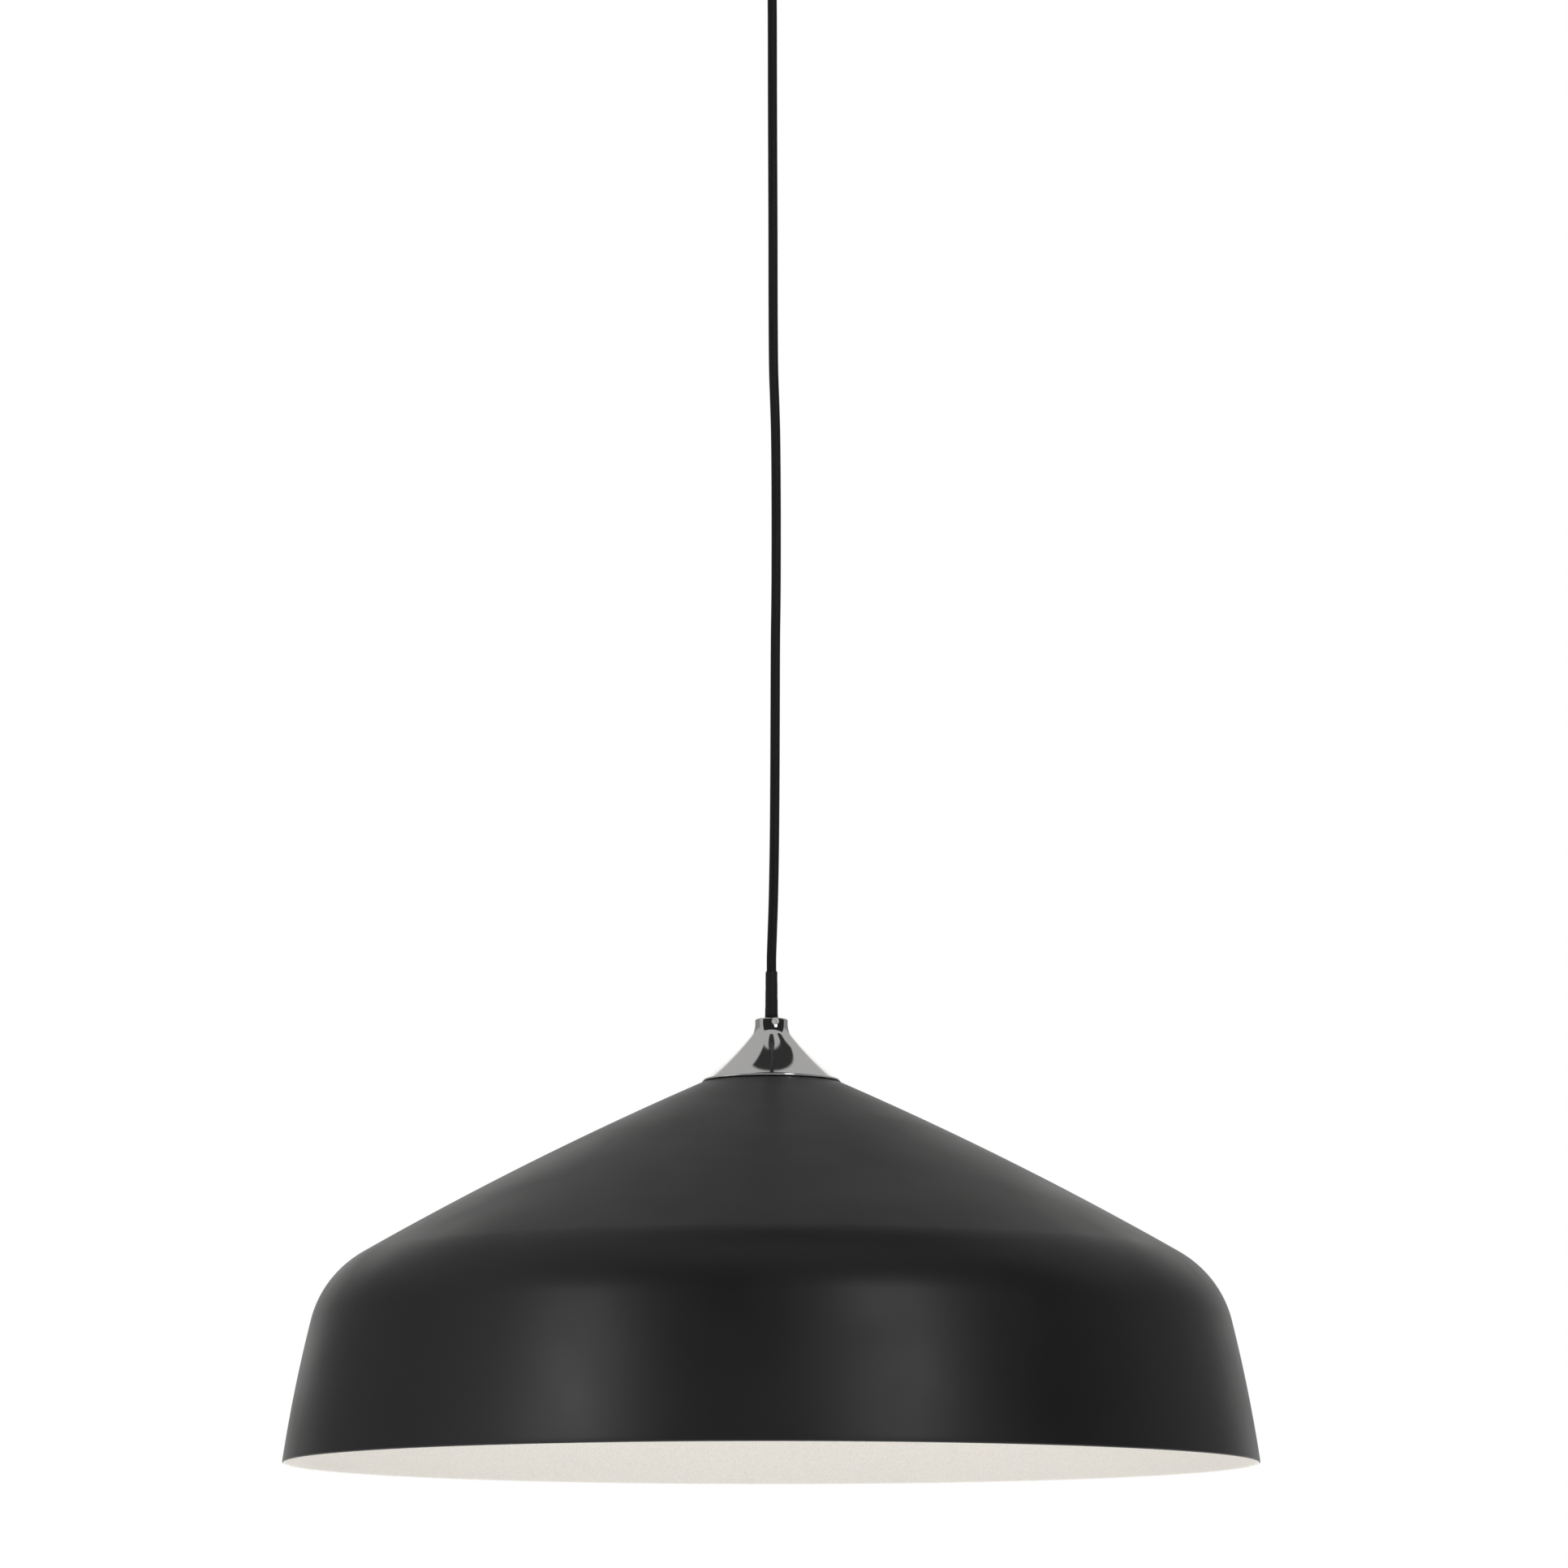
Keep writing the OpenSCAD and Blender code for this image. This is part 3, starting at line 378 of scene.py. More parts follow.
def plated(name, colour, roughness):
    """Dull metal with a fine grain. Hands back its tree too, for a second shade."""
    material, tree, shader = finish(name, colour, roughness, metallic=1.0)
    bumps(tree, shader, noise(tree, 0.3 * MM, detail=4.0), 0.002 * MM)
    roughly(tree, shader, noise(tree, 4 * MM), roughness * 0.85, roughness * 1.2)
    return material, tree, shader


def chrome_plate():
    """Polished plate: nearly a mirror, with rings so faint that they only soften
    the brightest reflections."""
    material, tree, shader = finish("polished_chrome", (0.9, 0.9, 0.905), 0.05, metallic=1.0)
    rings = noise(tree, 6 * MM, stretch=(1, 1, 0.05), detail=2.0)
    bumps(tree, shader, rings, 0.002 * MM)
    roughly(tree, shader, noise(tree, 9 * MM), 0.04, 0.075)
    return material


chrome = chrome_plate()
zinc, zinc_tree, zinc_shader = plated("zinc_plate", (0.58, 0.59, 0.61), 0.34)
drift(zinc_tree, zinc_shader, noise(zinc_tree, 3 * MM), (0.50, 0.51, 0.53), (0.66, 0.66, 0.67))
brass, brass_tree, brass_shader = plated("plain_brass", (0.70, 0.50, 0.22), 0.3)
drift(brass_tree, brass_shader, noise(brass_tree, 5 * MM),
      (0.62, 0.43, 0.18), (0.76, 0.57, 0.27))
nickel, _, _ = plated("nickel_plate", (0.66, 0.65, 0.62), 0.22)
print("metals:", chrome.name, zinc.name, brass.name, nickel.name)

# %% [markdown]
# Moulded parts have a soft spark-eroded grain. Opal and nylon let light about a
# millimetre in. Their three colours scatter alike: Blender's usual setting sends red
# further than blue, which suits skin and turns white plastic bluish. The cord's
# jacket is drawn through a die and has draw lines along it.

# %% Plastics, rubber, ceramic


def moulded(name, colour, roughness=0.42, grain=0.35 * MM, change=1.08, **more):
    """Moulded surface: fine grain, and a colour that drifts by the factor change."""
    material, tree, shader = finish(name, colour, roughness, **more)
    bumps(tree, shader, noise(tree, grain, detail=2.0), 0.008 * MM)
    lighter = tuple(min(1.0, c * change + 0.002) for c in colour)
    drift(tree, shader, noise(tree, 12 * MM), colour, lighter)
    return material


black_moulding = moulded("black_moulding", (0.012, 0.012, 0.013))
white_moulding = moulded("white_moulding", (0.80, 0.80, 0.78), 0.3)
ivory_moulding = moulded("ivory_moulding", (0.72, 0.67, 0.53))
milky = {"Subsurface_Weight": 0.2, "Subsurface_Radius": (1, 1, 1),
         "Subsurface_Scale": 1 * MM}
opal = moulded("opal_diffuser", (0.88, 0.88, 0.865), 0.35, change=1.01, **milky)
nylon = moulded("white_nylon", (0.94, 0.94, 0.935), 0.3, change=1.02, **milky)
glazed = moulded("glazed_ceramic", (0.76, 0.72, 0.63), 0.2, grain=1.2 * MM)
black_glass = moulded("black_glass", (0.008, 0.008, 0.012), 0.08)
green_board = moulded("green_board", (0.02, 0.16, 0.06), 0.3, grain=1.0 * MM)
white_board = moulded("white_board", (0.78, 0.78, 0.77), 0.35)
phosphor = moulded("phosphor", (0.80, 0.60, 0.12), 0.6)


def cord_jacket(name, colour, roughness):
    """Extruded jacket: draw lines and a little colour change run lengthwise."""
    material, tree, shader = finish(name, colour, roughness, Specular_IOR_Level=0.25)
    lines = noise(tree, 0.55 * MM, stretch=(1, 1, 60), detail=3.0)
    wander = noise(tree, 3 * MM, stretch=(1, 1, 4))
    first = bumps(tree, shader, lines, 0.03 * MM)
    bumps(tree, shader, wander, 0.03 * MM, under=first)
    drift(tree, shader, lines, colour, tuple(c * 1.7 for c in colour))
    roughly(tree, shader, lines, roughness - 0.06, roughness + 0.08)
    return material


jacket = cord_jacket("cord_jacket", (0.010, 0.0098, 0.0105), 0.5)
shrink_sleeve = cord_jacket("shrink_sleeve", (0.018, 0.018, 0.019), 0.55)


def core_pair():
    """The two cores: brown on the left and blue on the right of the middle."""
    material, tree, shader = finish("core_insulation", (0.2, 0.1, 0.05), 0.4)
    place = tree.nodes.new("ShaderNodeTexCoord")
    split = tree.nodes.new("ShaderNodeSeparateXYZ")
    side = tree.nodes.new("ShaderNodeMath")
    side.operation = "GREATER_THAN"
    side.inputs[1].default_value = 0.0
    both = tree.nodes.new("ShaderNodeMix")
    both.data_type = "RGBA"
    both.inputs["A"].default_value = (0.13, 0.045, 0.018, 1)
    both.inputs["B"].default_value = (0.02, 0.07, 0.30, 1)
    tree.links.new(place.outputs["Object"], split.inputs["Vector"])
    tree.links.new(split.outputs["X"], side.inputs[0])
    tree.links.new(side.outputs["Value"], both.inputs["Factor"])
    tree.links.new(both.outputs["Result"], shader.inputs["Base Color"])
    bumps(tree, shader, noise(tree, 0.4 * MM), 0.01 * MM)
    return material


core_colours = core_pair()


def dress(piece, *materials):
    """Gives a piece its materials, in the order of its faces' numbers."""
    if len(piece.data.materials):
        piece.data.materials.clear()
    for material in materials:
        piece.data.materials.append(material)


dress(hanging_cord, jacket)
print(len(bpy.data.materials), "materials")

# %% [markdown]
# ## Shade
#
# Spun from one disc of sheet. From the rim up: a skirt that leans in and curves
# slightly, a tight shoulder, a cone that is crowned by a few millimetres, and a
# flat seat under the cap. The inside is the same line moved in by the sheet's
# thickness. The rim is rounded over half that thickness, so it catches light as a
# thin line. Black outside and white inside are two materials on one sheet; the
# change runs along the middle of the rim.

# %% Shade
RIM_R = 200
WALL = 1.2
RIM_LEAN, SHOULDER_LEAN = 8, 13.4
SKIRT_ARC = 59 / math.radians(SHOULDER_LEAN - RIM_LEAN)
SHOULDER_R = 42.5
CONE_SLOPE = 30.2
CROWN = 1530
SEAT_R, HOLE_R = 22, 5.1
LIP_IN = 0.09

outside = Pen(RIM_R, 0, 90 + RIM_LEAN).bend(90 + SHOULDER_LEAN, SKIRT_ARC, 24)
outside.bend(180 - CONE_SLOPE, SHOULDER_R, 36)
cone_foot = outside.end


def cone_heading(r):
    """Heading of the crowned cone at a radius: its sine changes evenly with radius."""
    return 180 - math.degrees(math.asin(math.sin(math.radians(CONE_SLOPE))
                                        + (r - cone_foot[0]) / CROWN))


def cone_height(r):
    """Height of the crowned cone at a radius: the foot's, less the crown's radius
    times the change of the heading's cosine."""
    return cone_foot[1] - CROWN * (math.cos(math.radians(CONE_SLOPE))
                                   + math.cos(math.radians(cone_heading(r))))


outside.bend(cone_heading(SEAT_R), CROWN, 40)
SEAT_Z = outside.end[1]
outer_line = outside.line()
inner_line = outside.beside(WALL)

lip_turn = np.radians(np.linspace(RIM_LEAN, RIM_LEAN - 180, 13))
lip = WALL / 2 * np.column_stack([np.cos(lip_turn), 1 + np.sin(lip_turn)])
lip[:, 0] += RIM_R - WALL / 2 - LIP_IN
black_lip, white_lip = lip[6::-1], lip[:6:-1]
outer_line = np.vstack([outer_line[outer_line[:, 1] > lip[0, 1]], [(HOLE_R, SEAT_Z)]])
inner_line = inner_line[inner_line[:, 1] > lip[-1, 1]]
under_seat = [(HOLE_R, SEAT_Z - WALL), (SEAT_R - WALL, SEAT_Z - WALL)]
shade_section = np.vstack([black_lip, outer_line, under_seat, inner_line[:-1][::-1],
                           white_lip])
white_from = len(black_lip) + len(outer_line)
shade_slots = (np.arange(len(shade_section)) >= white_from).astype(np.int32)
shade_skin = turned("shade_skin", shade_section, 360, RIM, slots=shade_slots)
dress(shade_skin, black_coat, white_enamel)
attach(shade_skin, "head")
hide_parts("shade")

print(f"shade {2 * shade_section[:, 0].max():.0f} mm wide, seat at {SEAT_Z:.1f} mm")

# %% [markdown]
# ## Chromed cap
#
# Turned from bar and plated. Working up from the foot: a small rolled edge, a
# hollow flare that steepens, a fillet, a short straight neck and a rounded top.
# The flare is an arc whose radius is worked out from the two slopes and the width
# it has to cover. Inside are the bore for the sleeve, the tapped boss for the
# nipple and an even wall under the flare. The cap stands SEAT_GAP clear of the
# shade, so that the two surfaces never meet.

# %% Cap
CAP_R, CAP_EDGE, CAP_WALL = 29, 0.5, 1.3
NECK_R, NECK_HEIGHT, NECK_EDGE = 7.0, 1.2, 0.8
FOOT_SLOPE, TOP_SLOPE = 35.5, 50.0
SEAT_GAP = 0.03
BOSS_HEIGHT, SOCKET_DEPTH = 8, 6.1

foot_r = CAP_R - CAP_EDGE
cone_tilt = math.radians(180 - cone_heading(foot_r))
foot_z = cone_height(foot_r) + (CAP_EDGE + SEAT_GAP) / math.cos(cone_tilt)
cap_out = Pen(foot_r, foot_z - CAP_EDGE, 0).bend(180 - FOOT_SLOPE, CAP_EDGE, 14)
fillet = 8.0
sin_top, sin_foot = math.sin(math.radians(TOP_SLOPE)), math.sin(math.radians(FOOT_SLOPE))
flare = (cap_out.end[0] - NECK_R - fillet * (1 - sin_top)) / (sin_top - sin_foot)
flare_start = len(cap_out.points) - 1
cap_out.bend(180 - TOP_SLOPE, -flare, 32)
flare_end = len(cap_out.points)
cap_out.bend(90, -fillet, 16)
cap_out.to(NECK_R, cap_out.end[1] + NECK_HEIGHT, 90).bend(180, NECK_EDGE, 10)
CAP_TOP = cap_out.end[1]
hollow = cap_out.beside(CAP_WALL)[flare_start:flare_end]
seat_below = [cone_height(r) + SEAT_GAP if r > SEAT_R else SEAT_Z for r in hollow[:, 0]]
hollow = hollow[hollow[:, 1] > seat_below]
sleeve_hole, nipple_hole = 2.85, 5.0
boss_foot = hollow[-1, 1] - BOSS_HEIGHT
socket = CAP_TOP - SOCKET_DEPTH
cap_section = np.vstack([
    cap_out.line(),
    [(sleeve_hole + 0.3, CAP_TOP), (sleeve_hole, CAP_TOP - 0.3), (sleeve_hole, socket),
     (nipple_hole, socket), (nipple_hole, boss_foot), (NECK_R, boss_foot),
     (NECK_R, hollow[-1, 1])],
    hollow[::-1],
])
cap = turned("trumpet_cap", cap_section, 256, RIM)
dress(cap, chrome)
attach(cap, "head")
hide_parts("chrome_cap")

print(f"cap from {foot_z:.1f} to {CAP_TOP:.1f} mm above the rim, flare radius {flare:.0f} mm")

# %% [markdown]
# ## Sleeve and neck screw
#
# A shrink sleeve tapers along the cord's last 20 mm and swells a little at its
# foot, where it was pushed into the neck. It isn't perfectly round: a few slow
# waves of 0.03 mm run round and along it.

# %% Sleeve
SLEEVE_LENGTH, SLEEVE_HELD = 20, 6
sleeve_top, sleeve_foot = CAP_TOP + SLEEVE_LENGTH, CAP_TOP - SLEEVE_HELD
sleeve_section = softened([
    (2.1, sleeve_foot), (2.75, sleeve_foot), (2.75, CAP_TOP + 0.8), (2.65, CAP_TOP + 2.4),
    (2.55, CAP_TOP + 9), (2.45, sleeve_top - 0.3), (2.25, sleeve_top), (2.1, sleeve_top),
], 0.25, 4)


def sleeve_waves(r, z, a):
    """Radius plus slow waves that differ from height to height."""
    wave = np.sin(3 * a + 0.9 * z) + 0.6 * np.sin(2 * a - 1.7 * z)
    return np.where(r > 2.2, r + 0.02 * wave * (z > CAP_TOP + 0.3), r)


def with_rows(loop, step):
    """The same loop with extra points, so that no run is longer than step."""
    after = np.roll(loop, -1, 0)
    count = np.maximum(1, np.ceil(np.linalg.norm(after - loop, axis=1) / step)).astype(int)
    index = np.repeat(np.arange(len(loop)), count)
    part = np.arange(count.sum()) - np.repeat(np.cumsum(count) - count, count)
    t = (part / count[index])[:, None]
    return loop[index] * (1 - t) + after[index] * t


sleeve = turned("shrink_sleeve", with_rows(sleeve_section, 0.5), 64, RIM, sleeve_waves)
dress(sleeve, shrink_sleeve)
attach(sleeve, "head")
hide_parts("cord_sleeve")

print(f"sleeve ends {sleeve_top:.1f} mm above the rim")

# %% [markdown]
# The screw is white nylon with a low round head. It is drawn standing on its
# shank: rings of points from the shank's foot over the head's rounded edge to the
# middle, with the points of the face near the centre line let down for the slot.
# Then the whole screw is laid over to point out of the neck.

# %% Neck screw


def slotted_head(section, slot_width, slot_depth, face, around=96):
    """A closed section turned round, whose face (heights above `face`) is let
    down by slot_depth where a point is within half the slot's width of the
    middle, over a side 0.06 mm wide. Returns points in millimetres and faces."""
    section = with_rows(np.asarray(section, float), 0.08)
    section[:, 0] = np.maximum(section[:, 0], NEAR_AXIS / 2)
    a = np.linspace(0, 2 * np.pi, around, endpoint=False)
    x, y = section[:, :1] * np.cos(a), section[:, :1] * np.sin(a)
    z = np.repeat(section[:, 1:], around, axis=1)
    edge = np.clip((slot_width / 2 - np.abs(x)) / 0.06 + 0.5, 0, 1)
    z = np.where(z > face, np.maximum(z - slot_depth * edge, face), z)
    return np.stack([x, y, z], -1).reshape(-1, 3), grid_faces(len(section), around)


SCREW_TURN = math.radians(13)
SCREW_Z = CAP_TOP - 1.6
SHANK_R, HEAD_R, HEAD_EDGE = 1.0, 1.5, 0.35
SLOT_WIDTH, SLOT_DEPTH = 0.5, 0.4
head_foot, head_top = NECK_R - 0.3, NECK_R + 0.8
screw_section = np.vstack([
    [(0, 2.8), (0.9, 2.8), (SHANK_R, 2.9), (SHANK_R, head_foot), (HEAD_R, head_foot)],
    Pen(HEAD_R, head_top - HEAD_EDGE, 90).bend(180, HEAD_EDGE, 8).line(),
    [(0.7, head_top), (0, head_top)],
])
screw_points, screw_faces = slotted_head(screw_section, SLOT_WIDTH, SLOT_DEPTH, head_top - 0.5)
out_of_neck = np.array([math.sin(SCREW_TURN), -math.cos(SCREW_TURN), 0])
across = np.array([math.cos(SCREW_TURN), math.sin(SCREW_TURN), 0])
upright = np.array([0, 0, 1.0])
screw_points = (screw_points[:, :1] * across + screw_points[:, 1:2] * upright
                + screw_points[:, 2:] * out_of_neck)
screw_points[:, 2] += SCREW_Z
screw = new_piece("nylon_screw", screw_points * MM + (0, 0, RIM), screw_faces)
dress(screw, nylon)
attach(screw, "head")
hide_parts("neck_screw")

print(f"screw head {2 * HEAD_R:.0f} mm wide, {head_top - head_foot:.1f} mm high")

# %% [markdown]
# ## Lamp holder
#
# Black moulded, in two halves that screw together. The dome has a collar tapped
# for the nipple. The skirt has a band of fine grips for the fingers, which is the
# section's radius raised by a rounded wave, 72 times round.

# %% Lamp holder
WASHER, NUT = 1.5, 4
DOME_R, DOME_WALL, DOME_HEIGHT = 19, 2.2, 27
COLLAR_R, COLLAR_HEIGHT = 8.5, 9
DOME_TOP = SEAT_Z - WALL - WASHER - NUT
DOME_FOOT = DOME_TOP - DOME_HEIGHT
BLOCK_FOOT = DOME_FOOT - 7
HOLDER_FOOT = DOME_FOOT - 34
collar_foot = DOME_TOP - COLLAR_HEIGHT
dome_bend = DOME_R - COLLAR_R - 0.5
dome_out = Pen(DOME_R, DOME_FOOT, 90).to(DOME_R, collar_foot - dome_bend, 90)
dome_out.bend(180, dome_bend, 20)
dome_in = dome_out.beside(DOME_WALL)
dome_section = np.vstack([
    dome_out.line(),
    [(COLLAR_R, collar_foot), (COLLAR_R, DOME_TOP - 0.4), (COLLAR_R - 0.4, DOME_TOP),
     (nipple_hole, DOME_TOP), (nipple_hole, dome_in[-1, 1])],
    dome_in[::-1],
])
dome = turned("holder_dome_skin", dome_section, 128, RIM)
dress(dome, black_moulding)
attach(dome, "head")
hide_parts("holder_dome")

GRIPS, GRIP_DEPTH = 72, 0.45
skirt_top = DOME_FOOT + 7.5
skirt_section = with_rows(softened([
    (14.5, HOLDER_FOOT), (19.7, HOLDER_FOOT), (20.5, HOLDER_FOOT + 0.8), (20.5, skirt_top - 0.8),
    (19.7, skirt_top), (19.05, skirt_top), (19.05, DOME_FOOT), (17.5, DOME_FOOT),
    (17.5, BLOCK_FOOT), (15.7, BLOCK_FOOT), (15.7, BLOCK_FOOT - 1.6), (18.3, BLOCK_FOOT - 3.2),
    (18.3, HOLDER_FOOT + 2.5), (14.5, HOLDER_FOOT + 2.5),
], 0.3, 4), 0.8)


def grips(r, z, a):
    """Fine ribs: the outside radius dips by up to GRIP_DEPTH between the ribs, and
    the dips fade out over 2 mm at both ends of the band."""
    low, high = HOLDER_FOOT + 5, skirt_top - 4
    band = np.clip(np.minimum(z - low, high - z) / 2, 0, 1)
    dip = 0.5 - 0.5 * np.cos(GRIPS * a)
    return np.where(r > 20, r - GRIP_DEPTH * band * dip**2, r)


skirt = turned("holder_skirt_skin", skirt_section, 8 * GRIPS, RIM, grips)
dress(skirt, black_moulding)
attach(skirt, "head")
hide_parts("holder_skirt")

print(f"lamp holder from {HOLDER_FOOT:.1f} to {DOME_TOP:.1f} mm above the rim")

# %% [markdown]
# ## Rolled threads
#
# Both threads are rolled from thin sheet, so the inside shows the same wave as the
# outside. Along the thread the radius is a cosine of height minus angle: moving up
# by one pitch is the same as one turn round, which is a right-hand thread. The wave
# dies away over one pitch at both ends.

# %% Screw shell and bulb cap
PITCH, THREAD_DEPTH, CREST = 3.63, 0.9, 13.1
PLAY, SHEET = 0.4, 0.4
CONTACT, TIP_GAP = 1.1, 0.3
TIP = BLOCK_FOOT - CONTACT - TIP_GAP
THREAD_TOP = TIP - 6.5
THREAD_FOOT = THREAD_TOP - 5 * PITCH
BULB_CAP_FOOT = THREAD_FOOT - 1.4
SHELL_FOOT = HOLDER_FOOT + 3


def fade(z, low, high):
    """1 along the thread, falling evenly to 0 over the last pitch at each end."""
    return np.clip(np.minimum(z - low, high - z) / PITCH, 0, 1)


def phase(z, a):
    """One full wave for each pitch of height, and back by one for each turn."""
    return 2 * np.pi * z / PITCH - a


def shell_wave(r, z, a):
    """The shell's radius, less the thread's depth in the grooves."""
    groove = fade(z, SHELL_FOOT, BLOCK_FOOT - SHEET) * (1 - np.cos(phase(z, a))) / 2
    return np.where(r > 12, r - THREAD_DEPTH * groove, r)


def upright_wall(r, low, high, rows):
    """Points straight up at one radius, close enough together to carry a thread."""
    return np.column_stack([np.full(rows, r), np.linspace(low, high, rows)])


shell_r = CREST + PLAY
shell_section = np.vstack([
    upright_wall(shell_r + SHEET, SHELL_FOOT, BLOCK_FOOT - SHEET, 110),
    [(shell_r + SHEET, BLOCK_FOOT), (8.5, BLOCK_FOOT), (8.5, BLOCK_FOOT - SHEET)],
    upright_wall(shell_r, SHELL_FOOT, BLOCK_FOOT - SHEET, 110)[::-1],
])
shell = turned("rolled_shell", shell_section, 120, RIM, shell_wave)
dress(shell, brass)
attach(shell, "head")
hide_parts("screw_shell")

ROOT = CREST - THREAD_DEPTH
MOUTH = THREAD_TOP + 2.6


def bulb_wave(r, z, a):
    """The cap's radius, raised by the thread's depth on the crests."""
    crest = fade(z, THREAD_FOOT, THREAD_TOP) * (1 + np.cos(phase(z, a))) / 2
    return r + THREAD_DEPTH * crest * (z > THREAD_FOOT) * (z < THREAD_TOP)


bulb_cap_section = np.vstack([
    [(ROOT, BULB_CAP_FOOT)], upright_wall(ROOT, THREAD_FOOT, THREAD_TOP, 90),
    [(ROOT - 0.25, THREAD_TOP + 0.5), (ROOT - 0.8, THREAD_TOP + 1.0), (9.4, MOUTH - 0.25),
     (9.0, MOUTH), (8.0, MOUTH), (8.0, MOUTH - SHEET), (8.9, MOUTH - SHEET),
     (ROOT - 1.3, THREAD_TOP + 0.6)],
    upright_wall(ROOT - SHEET, THREAD_FOOT, THREAD_TOP, 90)[::-1],
    [(ROOT - SHEET, BULB_CAP_FOOT)],
])
bulb_cap = turned("bulb_cap", bulb_cap_section, 120, RIM, bulb_wave)
dress(bulb_cap, nickel)
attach(bulb_cap, "bulb")
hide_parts("bulb_screw_cap")

print(f"thread {2 * CREST:.1f} mm over the crests, {PITCH} mm from crest to crest")

# %% [markdown]
# ## Bulb
#
# An opal globe of 60 mm on a white moulded body. The two meet in a fine V-groove.
# Both are hollow and have their own section, since the globe lets light through.
# They meet 30 degrees up the globe, half its radius above its middle.

# %% Bulb
BULB_R, BULB_LENGTH, GLOBE_WALL = 30.0, 102, 1.5
GLOBE_Z = TIP - BULB_LENGTH + BULB_R
JOIN_R, JOIN_Z = BULB_R * math.cos(math.radians(30)), GLOBE_Z + BULB_R * 0.5
BODY_TOP_R, BODY_TOP_Z = 14.4, BULB_CAP_FOOT - 0.5
BOARD_TOP = JOIN_Z + 3.5


def body_radius(z):
    """The body is a straight cone from the join up to its top."""
    return JOIN_R + (BODY_TOP_R - JOIN_R) * (z - JOIN_Z) / (BODY_TOP_Z - JOIN_Z)


globe_out = Pen(NEAR_AXIS, GLOBE_Z - BULB_R, 0).bend(119, BULB_R, 90)
inside_r = BULB_R - GLOBE_WALL
inner_join = math.degrees(math.asin((JOIN_Z - GLOBE_Z) / inside_r))
globe_in = Pen(NEAR_AXIS, GLOBE_Z - BULB_R + GLOBE_WALL, 0).bend(90 + inner_join, inside_r, 60)
globe = turned("opal_globe", np.vstack([
    globe_out.line(), [(JOIN_R - 0.15, JOIN_Z)], globe_in.line()[::-1],
]), 160, RIM)
dress(globe, opal)
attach(globe, "bulb")
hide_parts("bulb_diffuser")

board_r = body_radius(BOARD_TOP) - 1.8
body = turned("bulb_body_skin", softened(with_rows(np.array([
    (JOIN_R - 1.8, JOIN_Z), (JOIN_R - 0.2, JOIN_Z), (JOIN_R - 0.1, JOIN_Z + 0.4),
    (BODY_TOP_R, BODY_TOP_Z), (BODY_TOP_R - 0.6, BULB_CAP_FOOT), (11.3, BULB_CAP_FOOT),
    (11.3, BULB_CAP_FOOT + 5), (10.1, BULB_CAP_FOOT + 5), (10.1, BODY_TOP_Z),
    (BODY_TOP_R - 1.8, BODY_TOP_Z - 3), (board_r - 1.5, BOARD_TOP + 2),
    (board_r - 1.5, BOARD_TOP), (board_r, BOARD_TOP),
]), 3.0), 0.15, 3), 128, RIM)
dress(body, white_moulding)
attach(body, "bulb")
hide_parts("bulb_body")

insulator = turned("glass_insulator", softened([
    (0, MOUTH - 1.6), (7.6, MOUTH - 1.6), (7.6, MOUTH + 0.5), (5.4, TIP - 1), (0, TIP - 1),
], 0.5, 6), 96, RIM)
dress(insulator, black_glass)
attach(insulator, "bulb_core")
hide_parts("bulb_insulator")

print(f"bulb ends {GLOBE_Z - BULB_R:.1f} mm above the rim")

# %% [markdown]
# ## Canopy and cord outlet
#
# The canopy is a drawn cup against the ceiling, in the shade's black. The bush
# under it has a bell mouth, so that the cord never bends over an edge. The canopy's
# sheet is 1 mm thick.

# %% Canopy
CANOPY_R, CANOPY_FACE, CANOPY_CORNER, CANOPY_LIP, OUTLET_R = 50, -30, 6, 0.3, 5.2
flat_r = CANOPY_R - CANOPY_CORNER
canopy_out = Pen(OUTLET_R, CANOPY_FACE, 0).to(flat_r, CANOPY_FACE, 0).bend(90, CANOPY_CORNER, 16)
canopy_out.to(CANOPY_R, -CANOPY_LIP, 90).bend(180, CANOPY_LIP, 4)
canopy_in = Pen(OUTLET_R, CANOPY_FACE + 1, 0).to(flat_r, CANOPY_FACE + 1, 0)
canopy_in.bend(90, CANOPY_CORNER - 1, 16).to(CANOPY_R - 1, -CANOPY_LIP, 90)
canopy = turned("canopy_skin", np.vstack([
    canopy_out.line(), [(CANOPY_R - 1 + CANOPY_LIP, 0)], canopy_in.line()[::-1],
]), 192)
dress(canopy, black_coat)
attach(canopy, "ceiling")
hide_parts("canopy_cover")

bush = turned("bell_mouth_bush", softened([
    (2.3, -21.5), (2.3, -29.6), (3.2, -29.6), (4.6, -31.0), (6.5, -33.4), (7.0, -34.0),
    (9.0, -34.0), (10.0, -33.0), (10.0, -30.0), (5.0, -30.0), (5.0, -21.5),
], 0.5, 5), 96)
dress(bush, black_moulding)
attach(bush, "ceiling")
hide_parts("cord_bush")

print(f"canopy {2 * CANOPY_R} mm wide, {-CANOPY_FACE} mm deep")

# %% [markdown]
# ## Pieces kept as the part has them
#
# Screws, nuts, plates and blocks already have their true shape, so they only get
# their finish. They could be drawn again with finer edges, but most are hidden and
# the rest are a few millimetres wide.

